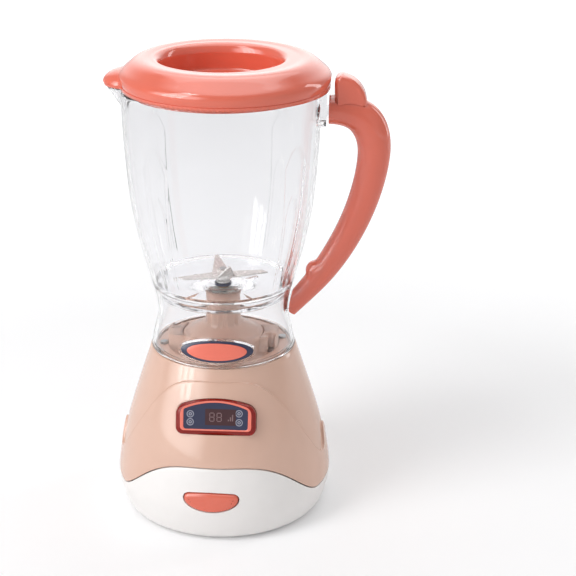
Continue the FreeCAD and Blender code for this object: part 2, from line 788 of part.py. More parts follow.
def battery_contacts():
    """Plates at both ends of the box: one joins the cells, two feed the switch."""
    half = CELL_PITCH / 2 - THIN_WALL
    low = CELL_Z - CELL_R / 2
    high = CELL_Z + CELL_R / 2
    linked = block(BOX_HALF - CONTACT_T, BOX_HALF, CELL_YS[0] - half, CELL_YS[1] + half, low, high)
    singles = [block(-BOX_HALF, -BOX_HALF + CONTACT_T, y - half, y + half, low, high) for y in CELL_YS]
    return Part.makeCompound([linked] + singles)


def battery_springs():
    """A coil behind the flat end of each cell."""
    room = BOX_LONG - CELL_LONG - 2 * CONTACT_T - NUB_HIGH - SLIP
    springs = []
    for y, side in zip(CELL_YS, (-1, 1)):
        spring = coil(SPRING_COIL_R, SPRING_WIRE_R, SPRING_TURNS, 0, room - 2 * SLIP)
        spring.rotate(Vector(), Vector(0, 1, 0), 90 if side < 0 else -90)
        spring.translate(Vector(side * (BOX_HALF - CONTACT_T - SLIP), y, CELL_Z))
        springs.append(spring)
    return Part.makeCompound(springs)


# ---- base: motor and gears ----
MOTOR_Y = GEAR_MODULE * (GEAR_TEETH + PINION_TEETH) / 2


def gear(teeth, low, high, x, y, bore, turn):
    """Spur gear with straight-flanked teeth; turn is the angle of its first tooth, from +X."""
    pitch_r = GEAR_MODULE * teeth / 2
    outer = pitch_r + GEAR_MODULE - TOOTH_RELIEF
    root = pitch_r - 1.25 * GEAR_MODULE
    quarter = 90 / teeth
    flank = (
        (root, -1.45), (pitch_r, -0.86), (outer, -0.42), (outer, 0.42), (pitch_r, 0.86), (root, 1.45),
    )
    corners = []
    for index in range(teeth):
        centre = turn + index * 360 / teeth
        for radius, share in flank:
            angle = math.radians(centre + share * quarter)
            corners.append(Vector(x + radius * math.cos(angle), y + radius * math.sin(angle), low))
    wheel = Part.Face(Part.makePolygon(corners + [corners[0]])).extrude(Vector(0, 0, high - low))
    return wheel.cut(cylinder(bore, low - 1, high + 1, x, y))


def drive_gear():
    return gear(GEAR_TEETH, GEAR_LOW_Z, GEAR_LOW_Z + GEAR_T, 0, 0, SHAFT_R, 90)


def pinion():
    low = GEAR_LOW_Z - (PINION_T - GEAR_T) / 2
    return gear(PINION_TEETH, low, low + PINION_T, 0, MOTOR_Y, MOTOR_SHAFT_R, 90 + 180 / PINION_TEETH)


def drive_shaft():
    return cylinder(SHAFT_R, SHAFT_LOW_Z, SHAFT_TOP_Z)


def frame_bush():
    """Flanged bush in the gear frame that carries the shaft's lower end."""
    return fused(
        tube(BUSH_R - 1, SHAFT_R + RUN, SHAFT_LOW_Z - 1, GEAR_LOW_Z - REST_GAP),
        cylinder(BUSH_R - 1, SHAFT_LOW_Z - 2, SHAFT_LOW_Z - REST_GAP / 2),
    )


def shaft_bush():
    return tube(BUSH_R, SHAFT_R + RUN, BUSH_LOW_Z, BUSH_TOP_Z)


def gear_frame():
    """Plate that hangs from the seat on four posts and carries the motor and the shaft."""
    solid = cylinder(FRAME_R, FRAME_LOW_Z, FRAME_LOW_Z + FRAME_T)
    for x, y in post_places():
        solid = fused(solid, cylinder(POST_R, FRAME_LOW_Z, SEAT_LOW_Z, x, y))
    for x, y in post_places():
        solid = solid.cut(cylinder(SMALL_SCREW_R + SLIP, SEAT_LOW_Z - SCREW_LONG / 2, FAR, x, y))
    solid = solid.cut(cylinder(BUSH_R - 1, 0, FAR))
    solid = solid.cut(cylinder(MOTOR_NOSE_R + SLIP, 0, FAR, 0, MOTOR_Y))
    for side in (-1, 1):
        solid = solid.cut(cylinder(SMALL_SCREW_R + SLIP, 0, FAR, side * MOTOR_SCREW_OFF, MOTOR_Y))
    return solid


def motor():
    """Small can motor hung under the frame, with its two flats along X."""
    low = FRAME_LOW_Z - MOTOR_LONG
    can = cylinder(MOTOR_WIDE / 2, low, FRAME_LOW_Z, 0, MOTOR_Y).common(
        block(-MOTOR_WIDE, MOTOR_WIDE, MOTOR_Y - MOTOR_FLAT / 2, MOTOR_Y + MOTOR_FLAT / 2, low, FRAME_LOW_Z)
    )
    nose = cylinder(MOTOR_NOSE_R, FRAME_LOW_Z, FRAME_LOW_Z + MOTOR_NOSE, 0, MOTOR_Y)
    body = fused(can, nose).cut(cylinder(MOTOR_SHAFT_R + RUN, FRAME_LOW_Z - MOTOR_LONG / 2, FAR, 0, MOTOR_Y))
    for side in (-1, 1):
        body = body.cut(cylinder(
            SMALL_SCREW_R + SLIP, FRAME_LOW_Z - 2 * SMALL_HEAD_T, FAR, side * MOTOR_SCREW_OFF, MOTOR_Y
        ))
    return body


def motor_shaft():
    high = GEAR_LOW_Z + PINION_T
    return cylinder(MOTOR_SHAFT_R, FRAME_LOW_Z - MOTOR_LONG / 2 + REST_GAP, high, 0, MOTOR_Y)


def motor_screws():
    seat = FRAME_LOW_Z + FRAME_T
    return Part.makeCompound([
        screw(side * MOTOR_SCREW_OFF, MOTOR_Y, seat, FRAME_T + SMALL_HEAD_T, SMALL_SCREW_R,
              SMALL_HEAD_R / 1.3,
              SMALL_HEAD_T / 2)
        for side in (-1, 1)
    ])


def seat_screws():
    """Screws that clamp the seat's flange on the frame's posts, their heads in the groove round the dome."""
    return Part.makeCompound([
        screw(x, y, SEAT_TOP_Z, SEAT_FLANGE_T + SCREW_LONG / 2 - 1, SMALL_SCREW_R, SMALL_HEAD_R, SMALL_HEAD_T)
        for x, y in post_places()
    ])


def ledge_screws():
    return Part.makeCompound([
        screw(x, y, SEAM_Z, LEDGE_T + SEAT_FLANGE_T, SMALL_SCREW_R, SMALL_HEAD_R, SMALL_HEAD_T)
        for x, y in ledge_screw_places()
    ])


def dogs(low, high, turn):
    """Ring of clutch dogs, each DOG_SPAN degrees wide."""
    ring = tube(DOG_R, DOG_BORE_R, low, high)
    shape = None
    for index in range(DOG_COUNT):
        wedge = Part.makeCylinder(2 * DOG_R, high - low, Vector(0, 0, low), UP, DOG_SPAN)
        wedge.rotate(Vector(), UP, turn + index * 360 / DOG_COUNT - DOG_SPAN / 2)
        dog = ring.common(wedge)
        shape = dog if shape is None else shape.fuse(dog)
    return shape


def drive_coupler():
    """Lower half of the clutch, on the base's shaft."""
    top = DOG_LOW_Z + DOG_DISC_T
    disc = tube(DOG_R, SHAFT_R, DOG_LOW_Z, top)
    return fused(disc, *dogs(top, top + DOG_HIGH, 0).Solids)


# ---- push button and switch ----
def push_button():
    """Crowned half-moon cap with a retaining flange and a stem to the switch."""
    reach = -BULGE_R + 3 * WALL
    cap = prism_y(button_wire(), -FAR, reach).common(filled(BASE_LINE, -BUTTON_PROUD))
    hollow = prism_y(button_wire(-BUTTON_WALL), -FAR, FAR)
    hollow = hollow.common(filled(BASE_LINE, BUTTON_WALL - BUTTON_PROUD))
    cap = cap.cut(hollow)
    inner = WALL + SLIP
    flange = prism_y(button_wire(BUTTON_FLANGE), -FAR, reach).common(filled(BASE_LINE, inner))
    flange = flange.cut(filled(BASE_LINE, inner + BUTTON_FLANGE_T))
    plate_y = -BULGE_R + BUTTON_WALL
    stem = along_y(STEM_R, plate_y, STEM_END_Y, BUTTON_X, SWITCH_Z)
    seat = along_y(RETURN_COIL_R + 2 * RETURN_WIRE_R, plate_y, SPRING_SEAT_Y, BUTTON_X, SWITCH_Z)
    cap = cap.cut(filled(BASE_LINE, inner + BUTTON_FLANGE_T))
    return fused(cap, flange, seat, stem)


def button_spring():
    """Return spring round the stem, between the button and the switch board."""
    room = SWITCH_BOARD_Y - SPRING_SEAT_Y
    spring = coil(RETURN_COIL_R, RETURN_WIRE_R, RETURN_TURNS, 0, room - 2 * SLIP)
    spring.rotate(Vector(), Vector(1, 0, 0), 90)
    spring.translate(Vector(BUTTON_X, SWITCH_BOARD_Y - SLIP, SWITCH_Z))
    return spring


def push_switch():
    half = SWITCH_SIZE / 2
    plunger_front = STEM_END_Y + BUTTON_TRAVEL + RUN
    body = block(
        BUTTON_X - half, BUTTON_X + half, SWITCH_BOARD_Y - SWITCH_T, SWITCH_BOARD_Y,
        SWITCH_Z - half, SWITCH_Z + half,
    )
    body = body.common(along_y(RETURN_COIL_R - RETURN_WIRE_R - SLIP, -FAR, FAR, BUTTON_X, SWITCH_Z))
    return fused(body, along_y(PLUNGER_R, plunger_front, SWITCH_BOARD_Y - SWITCH_T, BUTTON_X, SWITCH_Z))


def switch_board():
    return block(
        BUTTON_X - SWITCH_BOARD_HALF, BUTTON_X + SWITCH_BOARD_HALF,
        SWITCH_BOARD_Y, SWITCH_BOARD_Y + BOARD_T, FLOOR_T,
        SWITCH_BOARD_TOP,
    )


# ---- display ----
def display_lens():
    """Tinted tray that shows the figures, with a shallow place for the label."""
    solid = lens_prism(0, 0, LENS_DEPTH)
    solid = solid.cut(lens_prism(-LENS_WALL, LENS_FRONT_T, LENS_DEPTH + 1))
    for side in (-1, 1):
        boss = on_panel(along_y(LENS_WALL, LENS_FRONT_T, LENS_DEPTH, side * DISPLAY_SCREW_X, 0))
        solid = fused(solid, boss)
    for side in (-1, 1):
        hole = on_panel(along_y(SMALL_SCREW_R + SLIP, LENS_DEPTH / 2 - 1, FAR, side * DISPLAY_SCREW_X, 0))
        solid = solid.cut(hole)
    return solid.cut(label_prism(-1, LABEL_T + SLIP, SLIP))


def label_prism(front, back, grow=0.0):
    return panel_prism(
        LABEL_HALF + grow, LABEL_LOW - grow, LABEL_HIP, LABEL_CROWN + grow, LABEL_ROUND, LABEL_ROUND,
        front, back,
    )


def display_label():
    window = on_panel(block(WINDOW_LEFT, WINDOW_RIGHT, -1, 1, WINDOW_LOW, WINDOW_HIGH))
    return label_prism(SLIP, LABEL_T).cut(window)


def led_module():
    return on_panel(block(
        -LED_HALF, LED_HALF, LENS_FRONT_T + REST_GAP, LENS_DEPTH, -LED_HIGH / 2, LED_HIGH / 2
    ))


def circuit_board():
    board = block(
        -DISPLAY_BOARD_HALF, DISPLAY_BOARD_HALF, LENS_DEPTH, LENS_DEPTH + BOARD_T, -DISPLAY_BOARD_HIGH / 2,
        DISPLAY_BOARD_HIGH / 2,
    )
    for side in (-1, 1):
        board = board.cut(along_y(SMALL_SCREW_R + SLIP, 0, FAR, side * DISPLAY_SCREW_X, 0))
    return on_panel(board)


def display_screws():
    back = LENS_DEPTH + BOARD_T
    screws = []
    for side in (-1, 1):
        x = side * DISPLAY_SCREW_X
        shape = fused(
            along_y(SMALL_SCREW_R, LENS_DEPTH / 2, back, x, 0),
            along_y(SMALL_HEAD_R, back, back + SMALL_HEAD_T, x, 0),
        )
        screws.append(on_panel(shape))
    return Part.makeCompound(screws)


# ---- jug ----
def nest_line():
    """Inside of the collar, drawn in by the nesting gap, as the bowl's outside."""
    return [(radius - CLEAR_WALL - NEST_GAP, height) for radius, height in COLLAR_LINE if height > WAIST_Z]


def jug_inner():
    """The space above the join that holds the food, with a sloping foot."""
    foot_r = JOIN_R - 2 * CLEAR_WALL
    foot_z = JOIN_Z + CLEAR_WALL
    above = filled(JUG_LINE, CLEAR_WALL).common(cylinder(FAR, foot_z, FAR + RIM_Z))
    low = turned_points([
        (0, JOIN_Z - 1), (foot_r, JOIN_Z - 1), (foot_r, JOIN_Z), (JOIN_R - CLEAR_WALL, foot_z), (0, foot_z),
    ])
    lift = cylinder(RIM_R - CLEAR_WALL, RIM_Z - 1, RIM_Z + 1)
    return fused(above, low, lift)


def hub_socket():
    """Hollow under the hub that the neck of the base stands in."""
    return cylinder(HUB_SOCKET_R, BOWL_FOOT_Z - 1, HUB_TOP_Z - CLEAR_WALL)


def flute_cut():
    """Four shallow panels with pointed heads, narrowing downwards."""
    outline = [
        (-FLUTE_FOOT_HALF, FLUTE_LOW_Z), (-FLUTE_HALF, FLUTE_HIP_Z), (0, FLUTE_TIP_Z),
        (FLUTE_HALF, FLUTE_HIP_Z),
        (FLUTE_FOOT_HALF, FLUTE_LOW_Z), (-FLUTE_FOOT_HALF, FLUTE_LOW_Z),
    ]
    layer = filled(JUG_LINE, -1).cut(filled(JUG_LINE, FLUTE_DEEP))
    shape = None
    for index in range(FLUTE_COUNT):
        wire = Part.makePolygon([Vector(x, 0, z) for x, z in outline])
        tool = prism_y(wire, -FAR, -WAIST_R / 2)
        tool.rotate(Vector(), UP, FLUTE_TURN + index * 360 / FLUTE_COUNT)
        panel = layer.common(tool)
        shape = panel if shape is None else shape.fuse(panel)
    return shape


def jug_body():
    """Clear wall of the jug above the join, with the spout."""
    solid = fused(filled(JUG_LINE).cut(flute_cut()), spout_cone(0))
    return solid.cut(jug_inner()).cut(spout_cone(SPOUT_WALL))


def jug_bracket():
    """Clear bracket at the rim, with a tongue that plugs into the handle's upper end."""
    bracket = block(
        WAIST_R, HANDLE_ROOT_X - REST_GAP, -BRACKET_HALF, BRACKET_HALF, BRACKET_LOW_Z, BRACKET_HIGH_Z
    )
    bracket = bracket.makeFillet(CLEAR_WALL, [edge for edge in bracket.Edges if edge.BoundBox.XLength > 1])
    tongue = handle_loft(HANDLE_WALL + REST_GAP / 2).common(
        block(WAIST_R, TONGUE_ROOT_X, -FAR, FAR, BRACKET_LOW_Z, BRACKET_HIGH_Z)
    )
    return fused(bracket, tongue).cut(filled(JUG_LINE))


def jug_floor():
    """Shallow clear bowl welded under the wall, with a hub for the spindle and four low vanes."""
    floor_z = BOWL_FOOT_Z + CLEAR_WALL
    nest = nest_line()
    top_r = nest[-1][0]
    turn_r = nest[0][0] - (top_r - nest[0][0]) * (nest[0][1] - BOWL_TURN_Z) / (JOIN_Z - nest[0][1])
    solid = turned_points([
        (0, BOWL_FOOT_Z), (BOWL_FOOT_R, BOWL_FOOT_Z), (turn_r, BOWL_TURN_Z), (top_r, JOIN_Z),
        (JOIN_R - 2 * CLEAR_WALL, JOIN_Z), (turn_r - CLEAR_WALL, BOWL_TURN_Z + 1), (BOWL_FOOT_R - 1, floor_z),
        (HUB_FOOT_R, floor_z), (HUB_TOP_R, HUB_TOP_Z), (0, HUB_TOP_Z),
    ]).cut(hub_socket())
    solid = fused(solid, tube(HUB_TOP_R, HUB_RING_R, HUB_TOP_Z - SLIP, HUB_TOP_Z + HUB_RING_HIGH))
    for index in range(VANE_COUNT):
        corners = [
            Vector(HUB_TOP_R - 1, 0, HUB_TOP_Z - 1), Vector(HUB_TOP_R - 1, 0, floor_z - 1),
            Vector(VANE_LONG, 0, floor_z - 1), Vector(VANE_LONG, 0, floor_z + 1),
            Vector(HUB_TOP_R - 1, 0, HUB_TOP_Z - 1),
        ]
        vane = Part.Face(Part.makePolygon(corners)).extrude(Vector(0, VANE_T, 0))
        vane.translate(Vector(0, -VANE_T / 2, 0))
        vane.rotate(Vector(), UP, VANE_TURN + index * 360 / VANE_COUNT)
        solid = fused(solid, vane.cut(hub_socket()))
    return solid.cut(cylinder(SPINDLE_BUSH_R, HUB_TOP_Z - FLOOR_R, HUB_TOP_Z + 1))


def jug_collar():
    """Clear skirt that carries the jug on the base."""
    shell = skin(COLLAR_LINE, 0, CLEAR_WALL)
    lip = tube(SEAM_R - CLEAR_WALL + SLIP, GROOVE_IN_R + REST_GAP, SEAM_Z - LIP_LOW, SEAM_Z + REST_GAP + 1)
    shell = shell.common(cylinder(FAR, SEAM_Z + REST_GAP, JOIN_Z))
    edge = BADGE_RIM + SLIP
    oval = ellipse_prism(BADGE_HALF + edge, BADGE_HALF_HIGH + edge, BADGE_Z, -FAR, -SPACER_R)
    rim = oval.cut(ellipse_prism(BADGE_HALF + SLIP, BADGE_HALF_HIGH + SLIP, BADGE_Z, -FAR, 0))
    rim = fused(rim.common(badge_bow(BADGE_RIM_PROUD)), oval.common(badge_bow(0)))
    rim = rim.cut(filled(COLLAR_LINE, CLEAR_WALL / 2))
    pad = block(
        WAIST_R - CLEAR_WALL / 2, WAIST_R + 2 * HANDLE_END_GAP, -PAD_HALF, PAD_HALF,
        WAIST_Z - 1, WAIST_Z + PAD_HIGH,
    )
    pad = pad.cut(handle_shell_space())
    tongue = handle_loft(HANDLE_WALL + REST_GAP / 2).common(
        block(WAIST_R - CLEAR_WALL / 4, TONGUE_END_X, -FAR, FAR, WAIST_Z - FLOOR_R, JOIN_Z)
    )
    return fused(shell, lip, rim, tongue, pad)


def badge_bow(proud):
    """Wide cylinder, leaning back as the collar does, whose front carries the badge."""
    lean = math.radians(BADGE_LEAN)
    axis = Vector(0, math.sin(lean), math.cos(lean))
    centre = Vector(0, BADGE_BOW_R - BADGE_REACH, BADGE_Z)
    return Part.makeCylinder(BADGE_BOW_R + proud, BADGE_BOW_R, centre - axis * (BADGE_BOW_R / 2), axis)


def badge_layer(half, half_high, under, over):
    plate = ellipse_prism(half, half_high, BADGE_Z, -FAR, -SPACER_R)
    return plate.common(badge_bow(over)).cut(badge_bow(under))


def badge_plate():
    return badge_layer(BADGE_HALF, BADGE_HALF_HIGH, SLIP, BADGE_T)


def badge_inlay():
    return badge_layer(INLAY_HALF, INLAY_HALF_HIGH, BADGE_T, BADGE_T + INLAY_T)


# ---- handle ----
def handle_end_cut():
    """Everything inside the collar and jug, grown by the gap at the handle's lower end."""
    return fused(filled(COLLAR_LINE, -HANDLE_END_GAP), filled(JUG_LINE, -HANDLE_END_GAP))


def handle_outer():
    return fused(handle_loft(0), Part.makeSphere(BUMP_R, Vector(BUMP_X, 0, BUMP_Z)))


def handle_shell_space():
    """The bar of the handle as it stands, for pieces that stop at it."""
    return handle_loft(0).cut(handle_end_cut())


def handle_halves():
    """Front and back half of the hollow handle, with a pair of bosses at each screw."""
    outer = handle_outer()
    solid = outer.cut(handle_loft(HANDLE_WALL))
    half_deep = HANDLE_LINE[4][2] * HANDLE_DEPTH / 2
    for x, z in HANDLE_SCREWS:
        solid = fused(solid, along_y(HANDLE_BOSS_R, -half_deep, half_deep, x, z).common(outer))
    solid = solid.cut(handle_end_cut())
    solid = solid.cut(block(0, HANDLE_ROOT_X, -FAR, FAR, BRACKET_LOW_Z - 2 * CLEAR_WALL, FAR + RIM_Z))
    halves = []
    for y0, y1 in ((-FAR, 0), (0, FAR)):
        halves.append(solid.common(block(0, FAR, y0, y1, 0, FAR + RIM_Z)))
    front, back = halves
    seat = handle_screw_seat()
    for x, z in HANDLE_SCREWS:
        front = front.cut(along_y(SMALL_SCREW_R + SLIP, -half_deep / 2 - 1, 1, x, z))
        back = back.cut(along_y(SMALL_SCREW_R + SLIP, -1, FAR, x, z))
        back = back.cut(along_y(SMALL_HEAD_R + SLIP, seat, FAR, x, z))
    return front, back


def handle_screw_seat():
    return min(width for _, _, width in HANDLE_LINE[4:8]) * HANDLE_DEPTH / 2 - HANDLE_HEAD_DEEP


def handle_screws():
    seat = handle_screw_seat()
    half_deep = HANDLE_LINE[4][2] * HANDLE_DEPTH / 2
    head = seat + SMALL_HEAD_T
    return Part.makeCompound([
        fused(along_y(SMALL_SCREW_R, -half_deep / 2, seat, x, z), along_y(SMALL_HEAD_R, seat, head, x, z))
        for x, z in HANDLE_SCREWS
    ])


def thumb_rest():
    """Rounded fin on top of the handle's root."""
    heel_z = HANDLE_LINE[1][1]
    top = Vector(THUMB_TOP_X, 0, THUMB_TOP_Z)
    nose = Vector(THUMB_HEEL_X, 0, THUMB_NOSE_Z)
    toe = Vector(THUMB_TOE_X, 0, THUMB_TOE_Z)
    heel = Vector(THUMB_HEEL_X, 0, heel_z)
    foot = Vector(THUMB_TOE_X, 0, heel_z)
    edges = [
        Part.makeLine(heel, nose),
        Part.Arc(nose, Vector(*THUMB_BROW), top).toShape(),
        Part.Arc(top, Vector(*THUMB_BACK), toe).toShape(),
        Part.makeLine(toe, foot),
        Part.makeLine(foot, heel),
    ]
    fin = prism_y(Part.Wire(edges), -THUMB_HALF, THUMB_HALF)
    rim = [
        edge for edge in fin.Edges
        if edge.BoundBox.YLength < 1e-6 and edge.BoundBox.ZMax > heel_z + 1
    ]
    return fin.makeFillet(THUMB_ROUND, rim).cut(handle_loft(0))


# ---- blades ----
WASHER_Z = HUB_TOP_Z
SPACER_Z = WASHER_Z + WASHER_T + REST_GAP
LOWER_BLADE_Z = SPACER_Z + SPACER_T
UPPER_BLADE_Z = LOWER_BLADE_Z + BLADE_T
NUT_Z = UPPER_BLADE_Z + BLADE_T
DRIVEN_LOW_Z = DOG_LOW_Z + DOG_DISC_T + DOG_END_GAP


def driven_coupler():
    """Upper half of the clutch, on the blades' spindle."""
    disc_low = DRIVEN_LOW_Z + DOG_HIGH
    disc = tube(DOG_R, SHAFT_R, disc_low, disc_low + DOG_DISC_T)
    return fused(disc, *dogs(DRIVEN_LOW_Z, disc_low, 180 / DOG_COUNT).Solids)


def blade_spindle():
    return cylinder(SHAFT_R, DRIVEN_LOW_Z + DOG_HIGH, SPINDLE_TOP_Z)


def spindle_bush():
    return tube(SPINDLE_BUSH_R, SHAFT_R + RUN, HUB_TOP_Z - CLEAR_WALL + SLIP, HUB_TOP_Z)


def hub_washer():
    return tube(WASHER_R, SHAFT_R + RUN, WASHER_Z, WASHER_Z + WASHER_T)


def blade_spacer():
    """Plated spacer with two grooves round it."""
    solid = tube(SPACER_R, SHAFT_R, SPACER_Z, LOWER_BLADE_Z)
    for share in (0.33, 0.67):
        height = SPACER_Z + share * SPACER_T
        solid = solid.cut(tube(SPACER_R + 1, SPACER_R - 0.5, height - 0.2, height + 0.2))
    return solid


def lower_blade():
    """Flat blade with two tapering wings whose tips are cut aslant."""
    z = LOWER_BLADE_Z
    solid = cylinder(BLADE_HUB_R, z, z + BLADE_T)
    wing = Part.Face(Part.makePolygon([
        Vector(0, -LOWER_BLADE_ROOT, z), Vector(LOWER_BLADE_LONG, LOWER_BLADE_TIP - 2, z),
        Vector(LOWER_BLADE_LONG - LOWER_BLADE_TIP, LOWER_BLADE_TIP + 1, z), Vector(0, LOWER_BLADE_ROOT, z),
        Vector(0, -LOWER_BLADE_ROOT, z),
    ])).extrude(Vector(0, 0, BLADE_T))
    for turn in (0, 180):
        other = wing.copy()
        other.rotate(Vector(), UP, turn)
        solid = fused(solid, other)
    solid.rotate(Vector(), UP, LOWER_BLADE_TURN)
    return solid.cut(cylinder(SHAFT_R, z - 1, z + 2))


def upper_blade():
    """Short blade whose two wings are bent up."""
    z = UPPER_BLADE_Z
    solid = cylinder(BLADE_HUB_R, z, z + BLADE_T)
    wing = Part.Face(Part.makePolygon([
        Vector(0, -UPPER_BLADE_ROOT, 0), Vector(UPPER_BLADE_LONG, -UPPER_BLADE_TIP, 0),
        Vector(UPPER_BLADE_LONG - UPPER_BLADE_TIP, UPPER_BLADE_TIP, 0),
        Vector(0, UPPER_BLADE_ROOT, 0), Vector(0, -UPPER_BLADE_ROOT, 0),
    ])).extrude(Vector(0, 0, BLADE_T))
    wing.rotate(Vector(), Vector(0, 1, 0), -UPPER_BLADE_BEND)
    wing.translate(Vector(BLADE_HUB_R - 1.5, 0, z))
    wing = wing.common(cylinder(FAR, z, FAR))
    for turn in (0, 180):
        other = wing.copy()
        other.rotate(Vector(), UP, turn)
        solid = fused(solid, other)
    solid.rotate(Vector(), UP, UPPER_BLADE_TURN)
    return solid.cut(cylinder(SHAFT_R, z - 1, z + 2))


def blade_nut():
    """Six-sided nut on the spindle's end."""
    turns = [math.radians(60 * index) for index in range(7)]
    corners = [Vector(NUT_R * math.cos(turn), NUT_R * math.sin(turn), NUT_Z) for turn in turns]
    nut = Part.Face(Part.makePolygon(corners)).extrude(Vector(0, 0, NUT_T))
    return nut.cut(cylinder(SHAFT_R, NUT_Z - 1, FAR))


# ---- lid ----
FLANGE_Z = RIM_Z + REST_GAP
SHELL_Z = FLANGE_Z + PLUG_FLANGE_T


def lid_dome(inset, low):
    """Ring-shaped dome with a flat top round the well, drawn in by inset on every side, from low up."""
    top = LID_TOP_Z - inset
    outer = Part.BSplineCurve()
    outer.interpolate([
        Vector(LID_R - LID_HEM_IN - inset, 0, low),
        Vector(LID_R - inset, 0, SHELL_Z + LID_BELT_HIGH),
        Vector(LID_R - LID_BROW_IN - inset * math.sqrt(0.5), 0, LID_BROW_Z - inset * math.sqrt(0.5)),
        Vector(LID_CREST_R, 0, top),
        Vector(LID_CREST_R - LID_FLAT, 0, top),
    ])
    dome = turned([
        outer.toShape(), straight((LID_CREST_R - LID_FLAT, top), (0, top)), straight((0, top), (0, low)),
        straight((0, low), (LID_R - LID_HEM_IN - inset, low)),
    ])
    dome.translate(Vector(LID_X, 0, 0))
    return dome.cut(well_mouth(inset, low - 1))


def well_mouth(inset, low):
    """Space of the well with its rounded lip, grown by inset."""
    wall_r = WELL_R + inset
    top = LID_TOP_Z - inset
    turn = MOUTH_ROUND - inset
    mid = turn * (1 - math.sqrt(0.5))
    lip = Part.Arc(
        Vector(wall_r, 0, top - turn), Vector(wall_r + mid, 0, top - mid), Vector(wall_r + turn, 0, top)
    )
    return turned([
        straight((0, low), (wall_r, low)), straight((wall_r, low), (wall_r, top - turn)), lip.toShape(),
        straight((wall_r + turn, top), (wall_r + turn, top + 1)),
        straight((wall_r + turn, top + 1), (0, top + 1)),
        straight((0, top + 1), (0, low)),
    ])


def lid_beak(inset, low):
    shape = ellipsoid((-BEAK_CENTRE, 0, BEAK_Z), BEAK_LONG - inset, BEAK_HALF - inset, BEAK_HIGH - inset)
    return shape.common(block(-FAR, -WELL_R - LID_WALL - 1, -FAR, FAR, low, FAR + RIM_Z))


def lid_shell():
    """Rounded ring with a deep round well and a beak over the spout."""
    well_floor = cylinder(WELL_R + LID_WALL, WELL_FLOOR_Z - LID_WALL, WELL_FLOOR_Z)
    well_wall = tube(WELL_R + LID_WALL, WELL_R, WELL_FLOOR_Z - LID_WALL, LID_TOP_Z - MOUTH_ROUND)
    shell = fused(lid_dome(0, SHELL_Z), lid_beak(0, SHELL_Z))
    shell = shell.cut(lid_dome(LID_WALL, SHELL_Z - 1)).cut(lid_beak(LID_WALL, SHELL_Z - 1))
    solid = fused(shell, well_wall, well_floor)
    return solid.cut(Part.makeSphere(NOTCH_R, Vector(NOTCH_X, 0, NOTCH_Z)))


def lid_plug():
    """Flange and spigot that close the lid's underside and centre it in the jug."""
    spigot_r = RIM_R - CLEAR_WALL - REST_GAP - SLIP * 2
    flange = cylinder(PLUG_FLANGE_R, FLANGE_Z, SHELL_Z, LID_X)
    lobe = ellipsoid((-BEAK_CENTRE, 0, BEAK_Z), BEAK_LONG - LOBE_IN, BEAK_HALF - LOBE_IN, BEAK_HIGH)
    lobe = lobe.common(block(-FAR, 0, -FAR, FAR, FLANGE_Z, SHELL_Z))
    solid = fused(flange, lobe).cut(cylinder(WELL_R + LID_WALL + SLIP, 0, FAR + RIM_Z))
    spigot = tube(spigot_r, spigot_r - SPIGOT_T, SPIGOT_LOW_Z, SHELL_Z)
    return fused(solid, spigot)


# ---- build ----
def write(name, shape):
    os.makedirs("parts", exist_ok=True)
    shape.exportStep("parts/" + name + ".step")
    print(f"{name:22s} solids {len(shape.Solids)} volume {shape.Volume:10.1f} valid {shape.isValid()}")


def main():
    handle_front, handle_back = handle_halves()
    pieces = {
        "lower_housing": lower_housing(),
        "upper_housing": upper_housing(),
        "jug_seat": jug_seat(),
        "battery_cover": battery_cover(),
        "battery_cover_screw": battery_cover_screw(),
        "housing_screws": housing_screws(),
        "battery_cells": battery_cells(),
        "battery_contacts": battery_contacts(),
        "battery_springs": battery_springs(),
        "gear_frame": gear_frame(),
        "frame_bush": frame_bush(),
        "shaft_bush": shaft_bush(),
        "motor": motor(),
        "motor_screws": motor_screws(),
        "seat_screws": seat_screws(),
        "ledge_screws": ledge_screws(),
        "motor_shaft": motor_shaft(),
        "pinion": pinion(),
        "drive_shaft": drive_shaft(),
        "drive_gear": drive_gear(),
        "drive_coupler": drive_coupler(),
        "push_button": push_button(),
        "button_spring": button_spring(),
        "push_switch": push_switch(),
        "switch_board": switch_board(),
        "display_lens": display_lens(),
        "display_label": display_label(),
        "led_module": led_module(),
        "circuit_board": circuit_board(),
        "display_screws": display_screws(),
        "jug_body": jug_body(),
        "jug_floor": jug_floor(),
        "jug_bracket": jug_bracket(),
        "jug_collar": jug_collar(),
        "badge_plate": badge_plate(),
        "badge_inlay": badge_inlay(),
        "handle_front": handle_front,
        "handle_back": handle_back,
        "handle_screws": handle_screws(),
        "thumb_rest": thumb_rest(),
        "spindle_bush": spindle_bush(),
        "hub_washer": hub_washer(),
        "blade_spindle": blade_spindle(),
        "driven_coupler": driven_coupler(),
        "blade_spacer": blade_spacer(),
        "lower_blade": lower_blade(),
        "upper_blade": upper_blade(),
        "blade_nut": blade_nut(),
        "lid_shell": lid_shell(),
        "lid_plug": lid_plug(),
    }
    for name, shape in pieces.items():
        write(name, shape)


main()
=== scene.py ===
import json
import math

import bpy
import numpy as np
from mathutils import Matrix, Vector


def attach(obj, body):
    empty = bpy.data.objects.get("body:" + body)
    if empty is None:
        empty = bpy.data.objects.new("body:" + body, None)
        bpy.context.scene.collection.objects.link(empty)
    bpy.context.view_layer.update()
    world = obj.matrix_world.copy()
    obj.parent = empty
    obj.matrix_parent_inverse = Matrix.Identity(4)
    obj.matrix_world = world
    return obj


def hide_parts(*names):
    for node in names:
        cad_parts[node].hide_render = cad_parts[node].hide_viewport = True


bl_info = {
    "name": "Toy blender",
    "version": (1, 0, 0),
    "blender": (4, 5, 0),
    "location": "View3D > Sidebar > Toy blender",
    "description": "Dresses a battery-powered toy blender: clear jug, coral lid and handle, two-tone base",
    "category": "Object",
}

